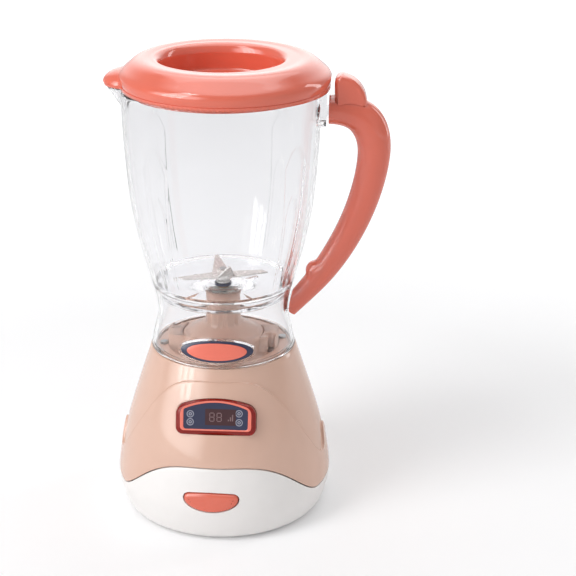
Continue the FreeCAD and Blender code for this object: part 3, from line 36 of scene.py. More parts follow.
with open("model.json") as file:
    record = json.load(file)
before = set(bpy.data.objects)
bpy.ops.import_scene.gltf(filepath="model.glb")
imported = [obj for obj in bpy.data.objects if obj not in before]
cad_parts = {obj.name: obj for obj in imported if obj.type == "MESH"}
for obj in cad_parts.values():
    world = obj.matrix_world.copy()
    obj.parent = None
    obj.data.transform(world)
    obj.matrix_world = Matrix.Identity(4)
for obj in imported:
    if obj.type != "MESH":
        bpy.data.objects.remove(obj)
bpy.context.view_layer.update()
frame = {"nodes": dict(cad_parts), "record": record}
BODIES = frame["record"]["behaviour"]["bodies"]
BODY_OF = {name: body for body, members in BODIES.items() for name in members}
SLOTS = {part["node"]: part["material_slot"] for part in frame["record"]["subparts"]}

MM = 0.001
FULL_TURN = 2 * math.pi

# ---------------------------------------------------------------- sizes, mm
# The solids' own, but for gaps and lips that are a little wider here so that they show.
# Outlines of the turned pieces, as (radius, height).
BASE_LINE = (
    (44.7, 0.0), (50.2, 2.3), (52.7, 8.0), (54.3, 16.0), (53.3, 28.0), (51.4, 39.0), (45.6, 60.0),
    (37.0, 86.3),
)
COLLAR_LINE = ((36.1, 86.3), (34.2, 95.0), (32.3, 105.0), (33.2, 113.0), (34.9, 119.3))
JUG_LINE = (
    (34.9, 119.3), (37.8, 130.0), (40.4, 140.0), (42.5, 150.0), (44.2, 160.0), (45.5, 172.0), (46.5, 185.0),
    (47.3, 200.0), (47.7, 217.2),
)
WALL = 2.6
CLEAR_WALL = 2.0
FLOOR_T = 2.2
SEAM_Z = BASE_LINE[-1][1]
JOIN_Z = JUG_LINE[0][1]
RIM_R, RIM_Z = JUG_LINE[-1]
SLIP = 0.05

# Points round each piece: more where a clear or glossy wall would show its facets.
AROUND_BASE, AROUND_COLLAR, AROUND_JUG, AROUND_LID = 288, 240, 600, 360
AROUND_BUTTON, AROUND_PANEL_HOLE, AROUND_LENS, AROUND_BADGE = 180, 240, 360, 160

# Beads that soften the edges of openings: how deep under the skin their middle lies, and their radii.
BEAD_DEEP = 0.28
BUTTON_BEAD_R, LENS_BEAD_R, APRON_BEAD_R = 0.34, 0.38, 0.32
LENS_BEAD_OUT, APRON_BEAD_DEEP = 0.3, 0.2

# Wavy lines round the base: (low, high, reach in degrees, power).
SPLIT_GAP = 0.6
SPLIT_LOW, SPLIT_HIGH, SPLIT_REACH, SPLIT_POWER = 17.3, 40.1, 66.0, 1.75
APRON = 0.9
APRON_LOW, APRON_HIGH, APRON_SIDE, APRON_REACH, APRON_POWER = 32.0, 80.6, 42.5, 78.0, 1.9
APRON_SOFT = 0.7                   # height over which the apron's edge fades into the wall

# Ledge under the collar.
GROOVE_IN_R, GROOVE_OUT_R, GROOVE_DEPTH = 32.3, 34.6, 1.3
LEDGE_HOLE_R, LEDGE_T = 28.0, 2.2

# Underside.
HOUSING_SCREWS = [(x, y) for x in (-37.0, 37.0) for y in (-20.0, 20.0)]
SCREW_SEAT_Z = 6.0
SCREW_HOLE_R = 2.9
COVER_X, COVER_Y0, COVER_Y1 = 29.75, 2.25, 35.15
TAB_X, TAB_WIDE, TAB_LOW_Y = 16.0, 9.0, -3.15
CUT_PAST = 10.0                    # a cutting tool reaches this far past what it cuts

# Button: half-moon with its middle at BUTTON_X.
BUTTON_X, BUTTON_HALF, BUTTON_ROUND = -1.9, 13.3, 3.0
BUTTON_TOP_Z, BUTTON_CROWN, BUTTON_CORNER_Z, BUTTON_LOW_Z = 27.7, 0.6, 24.6, 18.4
BUTTON_GAP = 0.6
BUTTON_PROUD = 0.9
BUTTON_FLANGE, BUTTON_FLANGE_T = 1.6, 1.4
BUTTON_WALL, BUTTON_CAP_T = 2.0, 1.1
BUTTON_CUT_Y = (-70.0, -44.0)      # where the cut of its opening starts and ends
STEM_R, STEM_FROM_Y, STEM_TO_Y, STEM_Z = 2.6, -52.3, -43.6, 23.2

# Display: an arched lens on a panel that leans back.
PANEL_TILT = math.radians(16.0)
PANEL_Y, PANEL_Z = -44.3, 64.9
LENS = dict(half=19.4, low=-8.9, hip=4.6, crown=8.95, round_low=3.4, round_high=6.0)
FACE = dict(half=17.4, low=-6.9, hip=4.2, crown=8.1, round_low=2.0, round_high=4.4)
LENS_DEPTH, LENS_WALL, LENS_FRONT_T, LENS_GAP = 8.5, 1.8, 2.0, 0.15
LABEL = dict(half=15.6, low=-6.0, hip=3.6, crown=7.0, round_low=1.3, round_high=1.3)
LABEL_T = 0.4
WINDOW = (-5.1, 9.8, -4.0, 4.0)    # left, right, low, high on the panel
FIGURES_X = (-1.8, 1.7)
BARS_X = (6.2, 7.2, 8.2)
BAR_STEP, BAR_STROKE = 1.2, 1.3    # each bar's extra height, and its width in strokes of a figure
ICONS = ((-12.3, 1.3), (-12.3, -2.6), (11.3, 2.0), (11.4, -2.4))
ICON_STROKE, ICON_INNER = 0.42, 0.38    # width of the rings' line, and the inner ring's share

# Jug: pointed panels pressed into the wall, and a spout at -X.
FLUTE_TURN = 53.0
FLUTE_COUNT = 4
# Half width at the foot and at the shoulder, heights of foot, shoulder and tip, depth.
FLUTES = (
    (4.0, 7.0, 124.0, 186.0, 196.0, 0.75),
    (2.0, 3.8, 126.0, 163.0, 172.0, 0.55),
)
FLUTE_SOFT = 1.7
SPOUT_CENTRE, SPOUT_LONG, SPOUT_HALF = 42.0, 12.8, 12.0
SPOUT_FOOT_LONG, SPOUT_FOOT_HALF, SPOUT_FOOT_Z = 5.2, 4.0, 205.5
SPOUT_WALL = 1.6
SPOUT_BLEND = 0.5                  # width of the soft line where spout and wall meet

# Collar and badge.
BADGE_Z, BADGE_HALF, BADGE_HIGH, BADGE_T = 95.7, 17.5, 5.2, 0.5
BADGE_BOW_R, BADGE_REACH, BADGE_LEAN = 70.0, 34.5, math.radians(11.5)
BADGE_RIM, BADGE_RIM_PROUD = 1.2, 0.6
INLAY_HALF, INLAY_HIGH, INLAY_T = 14.5, 4.15, 0.3
LIP_LOW, REST_GAP = 1.0, 0.3
PAD_LOW, PAD_HIGH = (31.9, -3.0, 104.0), (34.5, 3.0, 113.0)    # corners of the pad under the handle's end

# Handle: centre line with the bar's width.
HANDLE_LINE = (
    (46.0, 206.8, 14.2), (57.0, 206.6, 14.4), (66.8, 203.2, 16.6), (72.3, 193.5, 16.4), (72.6, 182.0, 15.6),
    (70.2, 169.0, 15.0), (65.2, 153.6, 14.2), (54.0, 131.7, 12.8), (47.1, 121.7, 11.6), (39.5, 112.6, 10.3),
    (32.6, 104.9, 9.4),
)
HANDLE_DEPTH = 0.94
HANDLE_WALL = 2.0
HANDLE_ROOT_X = 50.2
HANDLE_END_GAP = 1.0
END_CUT_TOP_Z = 150.0
BUMP_AT = (47.0, 124.2)
BUMP_HIGH, BUMP_LONG = 2.3, 3.9
HANDLE_SCREWS = ((72.5, 187.0), (60.4, 143.6))
HANDLE_SCREW_HOLE_R = 1.95

# Lid: a ring set LID_X towards the handle, a well on the axis and a beak over the spout.
LID_X = 2.0
SHELL_Z = 219.1
LID_LINE = ((49.4, 219.1), (50.1, 223.3), (46.7, 227.2), (40.9, 231.1), (35.3, 231.1))
LID_WALL = 1.8
WELL_R, WELL_FLOOR_Z = 28.6, 218.0
MOUTH_ROUND, MOUTH_DROP = 3.6, 5.2    # how far the mouth's lip reaches inward and down
BEAK_CENTRE, BEAK_LONG, BEAK_HALF, BEAK_HIGH, BEAK_Z = 42.2, 14.0, 13.0, 6.8, 218.8
BEAK_BLEND = 0.9
NOTCH_R, NOTCH_X, NOTCH_Z = 8.0, 58.9, 220.0

# Camera, in the object's own frame, metres.
EYE = Vector((0.06619, -0.68737, 0.38743))
LOOK = Vector((-0.04582, 0.92884, -0.36765))
ROLL = math.radians(0.45)
LENS_MM = 93.14
SENSOR_MM = 36.0

# Floor's size, and the distances from the part over which it is lifted to white and mirrors as white,
# in metres.
FLOOR_SIZE = 8.0
GLOW_NEAR, GLOW_FULL = 0.25, 1.1
MIRROR_NEAR, MIRROR_FULL = 1.2, 1.9

# Window light front left: columns and rows of panes, their size and distance in metres, their spacing,
# the window's turn from -Y and its lowest row's height in degrees.
WINDOW_PANES = (3, 6)
PANE = (0.13, 0.17)
WINDOW_AWAY = 1.2
PANE_STEP = (9.0, 10.5)
WINDOW_TURN, WINDOW_LOW = 52.0, 8.0


# ---------------------------------------------------------------- colours and settings
def srgb(code):
    """Linear colour of an sRGB hex value."""
    parts = [int(code[i:i + 2], 16) / 255 for i in (0, 2, 4)]
    return tuple(c / 12.92 if c <= 0.04045 else ((c + 0.055) / 1.055) ** 2.4 for c in parts)


def colour_prop(name, code, about):
    return bpy.props.FloatVectorProperty(
        name=name, description=about, default=srgb(code), size=3, min=0, max=1, subtype="COLOR"
    )


def length_prop(name, millimetres, about):
    return bpy.props.FloatProperty(
        name=name, description=about, default=millimetres * MM, min=0, unit="LENGTH"
    )


def power_prop(name, watts, about):
    return bpy.props.FloatProperty(name=name, description=about, default=watts, min=0, unit="POWER")


def level_prop(name, level, about):
    return bpy.props.FloatProperty(name=name, description=about, default=level, min=0)


class FinishSettings(bpy.types.PropertyGroup):
    coral: colour_prop("Coral plastic", "DE6B55", "Lid, handle and button")
    tan: colour_prop("Tan plastic", "D8B29F", "Upper housing and seat")
    white: colour_prop("White plastic", "EDEAE8", "Lower housing and battery cover")
    clear: colour_prop("Clear plastic", "FDFDFE", "Jug and collar")
    navy: colour_prop("Navy print", "33364F", "Badge plate, label and hub washer")
    badge: colour_prop("Badge inlay", "EC7865", "Coral face of the badge")
    lens: colour_prop("Red lens", "A41C12", "Tinted tray of the display")
    silver: colour_prop("Plated blades", "E6E3E0", "Blades, spacer and nut")
    grain: length_prop("Moulding grain", 7.0, "Spacing of the faint unevenness of moulded plastic")


class DetailSettings(bpy.types.PropertyGroup):
    crease: bpy.props.FloatProperty(
        name="Crease angle", description="Edges sharper than this stay sharp", default=math.radians(32),
        subtype="ANGLE",
    )
    edge: length_prop("Edge round", 0.28, "Round on the visible edges of the housings")
    digit_high: length_prop("Figure height", 4.0, "Height of the display's figures")
    digit_wide: length_prop("Figure width", 2.1, "Width of the display's figures")
    digit_stroke: length_prop("Figure stroke", 0.42, "Width of a display segment")
    icon_r: length_prop("Icon radius", 1.55, "Radius of the small rings printed on the label")


class StageSettings(bpy.types.PropertyGroup):
    floor: colour_prop("Floor", "F7F7F8", "Plain pale floor")
    key: power_prop("Key light", 2.4, "Large soft light, front left")
    window: power_prop("Window", 6.5, "All the window's panes together")
    fill: power_prop("Fill light", 0.45, "Weak light, front right")
    rim: power_prop("Rim light", 2.0, "Narrow light behind, right")
    top: power_prop("Top light", 3.4, "Light overhead")
    world: level_prop("Room light", 0.52, "Strength of the even light around")
    sky: level_prop("Mirrored sky", 1.75, "Bright patch behind that gloss shows")
    ceiling: level_prop("Mirrored ceiling", 2.6, "Bright patch overhead that gloss shows")
    wall: level_prop("Mirrored wall", 3.6, "Bright patch front left that gloss shows")
    glow: level_prop("White floor", 0.07, "How far the floor is lifted to white")
    glow_far: level_prop("White distance", 0.6, "The same, a metre away")
    glow_through: level_prop("White behind clear", 0.05, "The same, seen through the jug")
    glow_mirrored: level_prop("Mirrored distance", 0.5, "The same for the far floor, where gloss mirrors it")


# ---------------------------------------------------------------- node helper and materials
def set_inputs(tree, made, inputs):
    """Links each input that is given a socket, and gives the others their value."""
    for name, value in inputs.items():
        if isinstance(value, bpy.types.NodeSocket):
            tree.links.new(value, made.inputs[name])
        else:
            made.inputs[name].default_value = value


def node(tree, kind, inputs=None, out=0, **settings):
    """Adds a node with its settings, values and links, and gives one of its outputs."""
    made = tree.nodes.new(kind)
    for name, value in settings.items():
        setattr(made, name, value)
    set_inputs(tree, made, inputs or {})
    return made.outputs[out]


def new_material(name):
    material = bpy.data.materials.new(name)
    material.use_nodes = True
    tree = material.node_tree
    tree.nodes.clear()
    shader = tree.nodes.new("ShaderNodeBsdfPrincipled")
    set_inputs(tree, tree.nodes.new("ShaderNodeOutputMaterial"), {"Surface": shader.outputs["BSDF"]})
    return material, tree, shader


def grain(tree, scale, detail=2.0):
    """Soft noise over the piece whose blobs are scale apart, in metres."""
    place = node(tree, "ShaderNodeTexCoord", out="Object")
    return node(tree, "ShaderNodeTexNoise", {"Vector": place, "Scale": 1 / scale, "Detail": detail})


def drift(tree, pattern, colour, low, high):
    """The colour, drifting between low and high times its brightness over the pattern."""
    ends = {"A": (*shade(colour, low), 1), "B": (*shade(colour, high), 1)}
    return node(tree, "ShaderNodeMix", {"Factor": pattern, **ends}, "Result", data_type="RGBA")


def shade(colour, factor):
    return tuple(c * factor for c in colour)


def moulded(name, colour, roughness, vary, spacing, ior=1.53):
    """Injection-moulded plastic: even colour, faint flow unevenness, gloss that varies a little."""
    material, tree, shader = new_material(name)
    flow, fine = grain(tree, spacing), grain(tree, spacing / 9, 3.0)
    set_inputs(tree, shader, {
        "Base Color": drift(tree, flow, colour, 0.975, 1.02),
        "Roughness": node(tree, "ShaderNodeMapRange", {
            "Value": fine, "To Min": roughness - vary, "To Max": roughness + vary,
        }),
        "Normal": node(tree, "ShaderNodeBump", {"Height": flow, "Strength": 0.25, "Distance": 0.04 * MM}),
        "IOR": ior,
    })
    return material


def clear_polystyrene(name, colour, spacing, ior, coat):
    """Clear moulded polystyrene: glossy skin, bright edges, slight waviness; thin walls stay light."""
    material, tree, shader = new_material(name)
    wave = grain(tree, 2 * spacing)
    set_inputs(tree, shader, {
        "Base Color": (*colour, 1), "Transmission Weight": 1.0, "IOR": ior, "Roughness": 0.015,
        "Coat Weight": coat, "Coat Roughness": 0.02,
        "Normal": node(tree, "ShaderNodeBump", {"Height": wave, "Strength": 0.12, "Distance": 0.4 * MM}),
    })
    return material


def tinted_styrene(name, colour, spacing):
    """Translucent red styrene of the display tray: deep red, a little brighter where light enters."""
    material, tree, shader = new_material(name)
    set_inputs(tree, shader, {
        "Base Color": drift(tree, grain(tree, spacing), colour, 0.85, 1.0), "Transmission Weight": 0.3,
        "IOR": 1.42, "Roughness": 0.08,
    })
    return material


def vacuum_plated(name, colour, spacing):
    """Plastic with a thin vacuum-plated film: pale silver with a soft, hazy gloss."""
    material, tree, shader = new_material(name)
    haze = grain(tree, spacing, 3.0)
    set_inputs(tree, shader, {
        "Base Color": drift(tree, haze, colour, 0.9, 1.0), "Metallic": 0.2,
        "Roughness": node(tree, "ShaderNodeMapRange", {"Value": haze, "To Min": 0.18, "To Max": 0.34}),
    })
    return material


def worked_metal(name, colour, roughness, spacing, stretch=12.0):
    """Drawn, turned or rolled metal: streaks along Z, drawn as coarse as they need to be to show."""
    material, tree, shader = new_material(name)
    place = node(tree, "ShaderNodeTexCoord", out="Object")
    squeezed = node(tree, "ShaderNodeMapping", {"Vector": place, "Scale": (stretch, stretch, 1)})
    streaks = node(tree, "ShaderNodeTexNoise", {
        "Vector": squeezed, "Scale": 1 / (spacing * stretch), "Detail": 3.0,
    })
    set_inputs(tree, shader, {
        "Base Color": drift(tree, streaks, colour, 0.8, 1.0), "Metallic": 1.0,
        "Roughness": node(tree, "ShaderNodeMapRange", {
            "Value": streaks, "To Min": roughness * 0.7, "To Max": roughness * 1.3,
        }),
    })
    return material


def printed_film(name, colour):
    """Screen-printed film: flat colour with the faint tooth of the print."""
    material, tree, shader = new_material(name)
    tooth = grain(tree, 0.5 * MM, 3.0)
    set_inputs(tree, shader, {
        "Base Color": drift(tree, tooth, colour, 0.94, 1.04), "Roughness": 0.24, "IOR": 1.5,
        "Normal": node(tree, "ShaderNodeBump", {"Height": tooth, "Strength": 0.1, "Distance": 0.02 * MM}),
    })
    return material


def laminate(name):
    """Printed circuit board: green lacquer over a net of paler copper tracks."""
    material, tree, shader = new_material(name)
    place = node(tree, "ShaderNodeTexCoord", out="Object")
    set_inputs(tree, shader, {
        "Base Color": node(tree, "ShaderNodeTexBrick", {
            "Vector": place, "Scale": 1 / (6 * MM), "Color1": (*srgb("1F5A33"), 1),
            "Color2": (*srgb("1B5230"), 1), "Mortar": (*srgb("3C7D45"), 1),
        }),
        "Roughness": 0.35,
    })
    return material


MATERIALS = {}
SPECIAL_FINISH = {                 # solids whose piece has another finish than its slot's usual one
    # jug_seat gets the tan darkened to 0.86 as painted shade, for the shade the jug casts into the collar
    "jug_floor": "clear_thick", "jug_bracket": "clear_thick", "jug_seat": "tan_seat",
}


def build_materials(finish):
    coral, tan, clear = tuple(finish.coral), tuple(finish.tan), tuple(finish.clear)
    flow = finish.grain
    MATERIALS.update(
        coral_abs=moulded("abs_coral_gloss_moulded", coral, 0.07, 0.015, flow, ior=1.6),
        tan_abs=moulded("abs_tan_gloss_moulded", tan, 0.1, 0.02, flow, ior=1.6),
        # Seat tan: the usual tan darkened to 0.86 as painted shade, since the seat sits in the jug's shade;
        # satin roughness is its own
        tan_seat=moulded("abs_tan_satin_painted_shade_moulded", shade(tan, 0.86), 0.22, 0.03, flow),
        white_abs=moulded("abs_white_satin_moulded", tuple(finish.white), 0.36, 0.05, flow),
        black_plastic=moulded("abs_black_matt_moulded", srgb("1B1B1C"), 0.5, 0.06, flow),
        white_nylon=moulded("nylon_white_moulded", srgb("E6E3D8"), 0.42, 0.05, 3 * MM),
        # Bright red of the lens's front frame: painted highlight of the lens's lit face, not a second colour
        # of the lens
        lens_face=moulded("styrene_red_painted_highlight_moulded", srgb("F07F6E"), 0.1, 0.02, 3 * MM),
        display_dark=moulded("epoxy_display_dark_cast", srgb("3A1518"), 0.2, 0.03, 2 * MM),
        cell_wrap=moulded("pvc_sleeve_grey_shrunk", srgb("565B63"), 0.28, 0.04, 4 * MM),
        clear_plastic=clear_polystyrene("clear_polystyrene_moulded", clear, flow, 1.16, 0.4),
        clear_thick=clear_polystyrene("clear_polystyrene_ribbed", clear, flow, 1.1, 0.05),
        red_lens=tinted_styrene("tinted_red_styrene_moulded", tuple(finish.lens), 5 * MM),
        silver_blade=vacuum_plated("vacuum_plated_plastic", tuple(finish.silver), 1.2 * MM),
        navy_label=printed_film("film_navy_printed", tuple(finish.navy)),
        coral_label=printed_film("film_coral_printed", tuple(finish.badge)),
        window=printed_film("film_window_maroon_printed", srgb("43272B")),
        figures=printed_film("film_figures_grey_printed", srgb("806668")),
        icons=printed_film("film_icons_grey_printed", srgb("9A9AA8")),
        circuit=laminate("circuit_laminate_lacquered"),
        steel_screw=worked_metal("steel_zinc_plated_rolled", srgb("B9BABC"), 0.3, 0.6 * MM),
        spring_steel=worked_metal("spring_steel_drawn", srgb("C6C6C8"), 0.25, 0.5 * MM),
        motor_can=worked_metal("steel_can_drawn", srgb("BDBEC0"), 0.28, 1.5 * MM),
        bronze_bush=worked_metal("bronze_sintered", srgb("A37C4B"), 0.42, 0.8 * MM, 2.0),
    )


# ---------------------------------------------------------------- mesh helpers
MERGE_WITHIN = 1e-6                # metres


def only(obj):
    """Selects obj alone and makes it active."""
    bpy.ops.object.select_all(action="DESELECT")
    obj.select_set(True)
    bpy.context.view_layer.objects.active = obj


def dress(obj, name, body, finish):
    """Names a finished piece, gives it its material and hooks it to its body."""
    obj.name = name
    obj.data.name = name
    obj.data.materials.clear()
    obj.data.materials.append(MATERIALS[finish])
    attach(obj, body)


def stand_in(obj, node_name):
    """Dresses a finished piece and lets it take the place of a solid."""
    slot = SLOTS[node_name]
    finish = SPECIAL_FINISH.get(node_name, slot)
    dress(obj, "piece_" + node_name, BODY_OF[node_name], finish)
    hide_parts(node_name)


def merge_and_face_out(obj):
    """Merges points that lie together and turns every face outwards."""
    only(obj)
    bpy.ops.object.mode_set(mode="EDIT")
    bpy.ops.mesh.select_all(action="SELECT")
    bpy.ops.mesh.remove_doubles(threshold=MERGE_WITHIN)
    bpy.ops.mesh.normals_make_consistent(inside=False)
    bpy.ops.object.mode_set(mode="OBJECT")


def smooth(obj):
    """Shades the piece smooth, but for its sharp edges."""
    only(obj)
    bpy.ops.object.shade_smooth_by_angle(angle=bpy.context.scene.blender_detail.crease)
    return obj


def apply_modifier(obj, kind, **settings):
    only(obj)
    modifier = obj.modifiers.new(kind.title(), kind)
    for key, value in settings.items():
        setattr(modifier, key, value)
    bpy.ops.object.modifier_apply(modifier=modifier.name)


def cut_away(obj, tool):
    """Takes the closed shape tool out of obj and deletes it."""
    apply_modifier(obj, "BOOLEAN", operation="DIFFERENCE", solver="EXACT", object=tool)
    bpy.data.objects.remove(tool, do_unlink=True)


def joined(first, *others):
    only(first)
    for other in others:
        other.select_set(True)
    bpy.ops.object.join()
    return first


def settle(obj):
    """Puts the object's place, turn and scale into its mesh."""
    only(obj)
    bpy.ops.object.transform_apply(location=True, rotation=True, scale=True)
    return obj


def rod(radius, length, middle, sides=48, lying=False):
    """Round bar about its middle, in mm, upright or lying along Y."""
    bpy.ops.object.select_all(action="DESELECT")
    bpy.ops.mesh.primitive_cylinder_add(
        vertices=sides, radius=radius * MM, depth=length * MM, location=Vector(middle) * MM,
        rotation=(math.pi / 2 if lying else 0, 0, 0),
    )
    return settle(bpy.context.object)


def box_between(low, high):
    """Box between two corners, in mm."""
    low, high = Vector(low) * MM, Vector(high) * MM
    bpy.ops.object.select_all(action="DESELECT")
    bpy.ops.mesh.primitive_cube_add(size=1, location=(low + high) / 2)
    bpy.context.object.scale = high - low
    return settle(bpy.context.object)


def skin(name, columns, rings):
    """Grid bent over a row of rings; each ring gives a point in mm for a share of the way round, 0 to 1."""
    rows = len(rings) - 1
    bpy.ops.object.select_all(action="DESELECT")
    bpy.ops.mesh.primitive_grid_add(x_subdivisions=columns, y_subdivisions=rows, size=1, location=(0, 0, 0))
    obj = bpy.context.object
    obj.name = name
    for vertex in obj.data.vertices:
        ring = rings[round((vertex.co.y + 0.5) * rows)]
        vertex.co = Vector(ring(vertex.co.x + 0.5)) * MM
    merge_and_face_out(obj)
    return obj


def turned_ring(station, centre_x=0.0):
    """Ring round the Z axis; station is a (radius, height) pair or gives one for each turn."""
    def at(share):
        turn = FULL_TURN * share
        radius, height = station(turn) if callable(station) else station
        return centre_x + radius * math.cos(turn), radius * math.sin(turn), height
    return at


def turned(name, columns, stations):
    return skin(name, columns, [turned_ring(station) for station in stations])


def spread(first, last, count):
    """count values from first to last, both ends in."""
    return [first + (last - first) * index / (count - 1) for index in range(count)]


def ease(share):
    share = min(max(share, 0.0), 1.0)
    return share * share * (3 - 2 * share)


# ---------------------------------------------------------------- lines
def smooth_through(knots, values, places):
    """Natural cubic spline through values at the knots, read at the places."""
    steps = np.diff(knots)
    slopes = np.diff(values) / steps
    count = len(knots)
    system = np.eye(count)
    right = np.zeros(count)
    for i in range(1, count - 1):
        system[i, i - 1:i + 2] = steps[i - 1], 2 * (steps[i - 1] + steps[i]), steps[i]
        right[i] = 6 * (slopes[i] - slopes[i - 1])
    bend = np.linalg.solve(system, right)
    i = np.clip(np.searchsorted(knots, places) - 1, 0, count - 2)
    ahead = (knots[i + 1] - places) / steps[i]
    behind = (places - knots[i]) / steps[i]
    return (
        ahead * values[i] + behind * values[i + 1]
        + ((ahead ** 3 - ahead) * bend[i] + (behind ** 3 - behind) * bend[i + 1]) * steps[i] ** 2 / 6
    )


def smooth_points(points, count):
    """count points along the smooth line through the given ones."""
    points = np.array(points, float)
    chord = np.concatenate([[0.0], np.cumsum(np.linalg.norm(np.diff(points[:, :2], axis=0), axis=1))])
    places = np.linspace(0, chord[-1], count)
    return np.column_stack([smooth_through(chord, points[:, i], places) for i in range(points.shape[1])])


class Profile:
    """Radius of a turned piece at each height."""

    def __init__(self, line):
        self.samples = smooth_points(line, 400)

    def __call__(self, height):
        return float(np.interp(height, self.samples[:, 1], self.samples[:, 0]))


base_radius = Profile(BASE_LINE)
collar_radius = Profile(COLLAR_LINE)
jug_radius = Profile(JUG_LINE)


def arch(share, power):
    """1 at the middle of an arch, 0 at its end, level at both."""
    return (1 + math.cos(math.pi * min(abs(share), 1.0) ** power)) / 2


def fold(turn):
    """Degrees from the middle of the front or back, whichever is nearer."""
    off = abs((math.degrees(turn) + 90 + 180) % 360 - 180)
    return min(off, 180 - off)


def split_height(turn):
    return SPLIT_LOW + (SPLIT_HIGH - SPLIT_LOW) * arch(fold(turn) / SPLIT_REACH, SPLIT_POWER)


def apron_height(turn):
    off = fold(turn)
    if off <= APRON_REACH:
        return APRON_LOW + (APRON_HIGH - APRON_LOW) * arch(off / APRON_REACH, APRON_POWER)
    return APRON_LOW + (APRON_SIDE - APRON_LOW) * arch((90 - off) / (90 - APRON_REACH), 1.0)


class Outline:
    """Closed outline in the plane, in mm, read by the share of a turn round its middle."""

    def __init__(self, points, soften=0):
        points = np.array(points, float)
        loop = np.vstack([points, points[:1]])
        walk = np.concatenate([[0.0], np.cumsum(np.linalg.norm(np.diff(loop, axis=0), axis=1))])
        places = np.linspace(0, walk[-1], 721)[:-1]
        even = np.column_stack([np.interp(places, walk, loop[:, i]) for i in range(2)])
        for _ in range(soften):
            even = (np.roll(even, 1, axis=0) + 2 * even + np.roll(even, -1, axis=0)) / 4
        self.middle = (even.min(axis=0) + even.max(axis=0)) / 2
        reach = even - self.middle
        angle = np.arctan2(reach[:, 1], reach[:, 0]) % FULL_TURN
        order = np.argsort(angle)
        self.angle = angle[order]
        self.reach = np.linalg.norm(reach, axis=1)[order]

    def plain(self, share):
        angle = (FULL_TURN * share) % FULL_TURN
        reach = float(np.interp(angle, self.angle, self.reach, period=FULL_TURN))
        return self.middle + reach * np.array((math.cos(angle), math.sin(angle)))

    def __call__(self, share, inset):
        """Point of the outline, moved inwards by inset."""
        along = self.plain(share + 0.002) - self.plain(share - 0.002)
        inwards = np.array((-along[1], along[0])) / np.linalg.norm(along)
        return self.plain(share) + inwards * inset


def arc_points(x, z, radius, start, end, radius_z=None, count=25):
    return [
        (x + radius * math.cos(a), z + (radius if radius_z is None else radius_z) * math.sin(a))
        for a in spread(start, end, count)
    ]


def panel_outline(half, low, hip, crown, round_low, round_high):
    """Arched top, round shoulders, straight sides and round lower corners."""
    rise = crown - hip
    bow_r = (half * half + rise * rise) / (2 * rise)
    bow_z = crown - bow_r
    shoulder_x = half - round_high
    shoulder_z = bow_z + math.sqrt((bow_r - round_high) ** 2 - shoulder_x ** 2)
    lean = math.atan2(shoulder_z - bow_z, shoulder_x)
    corner_x, corner_z = half - round_low, low + round_low
    return Outline(
        arc_points(0, bow_z, bow_r, lean, math.pi - lean, count=90)
        + arc_points(-shoulder_x, shoulder_z, round_high, math.pi - lean, math.pi)
        + arc_points(-corner_x, corner_z, round_low, math.pi, 1.5 * math.pi)
        + arc_points(corner_x, corner_z, round_low, 1.5 * math.pi, 2 * math.pi)
        + arc_points(shoulder_x, shoulder_z, round_high, 0, lean)
    )


def button_outline():
    """Slightly arched top, round corners, elliptic underside."""
    shoulder = BUTTON_TOP_Z - BUTTON_CROWN
    turn_x = BUTTON_HALF - BUTTON_ROUND
    rise = shoulder - BUTTON_CORNER_Z
    bow_r = (turn_x ** 2 + BUTTON_CROWN ** 2) / (2 * BUTTON_CROWN)
    lean = math.asin(turn_x / bow_r)
    return Outline(
        arc_points(BUTTON_X + turn_x, BUTTON_CORNER_Z, BUTTON_ROUND, 0, math.pi / 2, rise)
        + arc_points(BUTTON_X, BUTTON_TOP_Z - bow_r, bow_r, math.pi / 2 - lean, math.pi / 2 + lean)
        + arc_points(BUTTON_X - turn_x, BUTTON_CORNER_Z, BUTTON_ROUND, math.pi / 2, math.pi, rise)
        + arc_points(
            BUTTON_X, BUTTON_CORNER_Z, BUTTON_HALF, math.pi, FULL_TURN, BUTTON_CORNER_Z - BUTTON_LOW_Z,
            count=90,
        ),
        soften=20,
    )


def upright(x, z, y):
    """Point of an upright plane that faces -Y."""
    return x, y, z


def on_base(x, z, proud):
    """Point on the front of the base, moved out by proud."""
    return x, -math.sqrt((base_radius(z) + proud) ** 2 - x * x), z


def on_panel(x, z, depth):
    """Point of the leaning panel, X across and Z up on it, depth into the base."""
    return (
        x, PANEL_Y + depth * math.cos(PANEL_TILT) + z * math.sin(PANEL_TILT),
        PANEL_Z - depth * math.sin(PANEL_TILT) + z * math.cos(PANEL_TILT),
    )


def panel_meets_base(x, z):
    """The same, at the depth where the panel's normal meets the base."""
    near, far = -12.0, 12.0
    for _ in range(24):
        middle = (near + far) / 2
        px, py, pz = on_panel(x, z, middle)
        if math.hypot(px, py) > base_radius(pz) - (APRON if pz > APRON_HIGH else 0):
            near = middle
        else:
            far = middle
    return on_panel(x, z, near)


def flat_ring(outline, inset, place, *where):
    """Ring of an outline drawn in by inset and put in its place by a function of x and z."""
    return lambda share: place(*outline(share, inset), *where)


def at_point(*point):
    return lambda share: point


def prism(name, columns, outline, inset, place, near, far):
    """Closed shape of an outline between two depths."""
    return skin(name, columns, [
        at_point(*place(*outline.middle, near)), flat_ring(outline, inset, place, near),
        flat_ring(outline, inset, place, far), at_point(*place(*outline.middle, far)),
    ])


def bead(name, columns, path, radius):
    """Thin eight-sided ring along a closed path, to soften the edge of an opening."""
    def ring(angle):
        def at(share):
            here = Vector(path(share))
            ahead = (Vector(path(share + 0.003)) - Vector(path(share - 0.003))).normalized()
            out = Vector((here.x, here.y, 0)).normalized()
            side = ahead.cross(out).normalized()
            out = side.cross(ahead)
            return here + (out * math.cos(angle) + side * math.sin(angle)) * radius
        return at
    return skin(name, columns, [ring(angle) for angle in spread(0, FULL_TURN, 9)])


# ---------------------------------------------------------------- operators: pieces
class Piece:
    """What the operators of the pieces share"""
    bl_options = {"REGISTER", "UNDO"}

    @property
    def detail(self):
        return bpy.context.scene.blender_detail


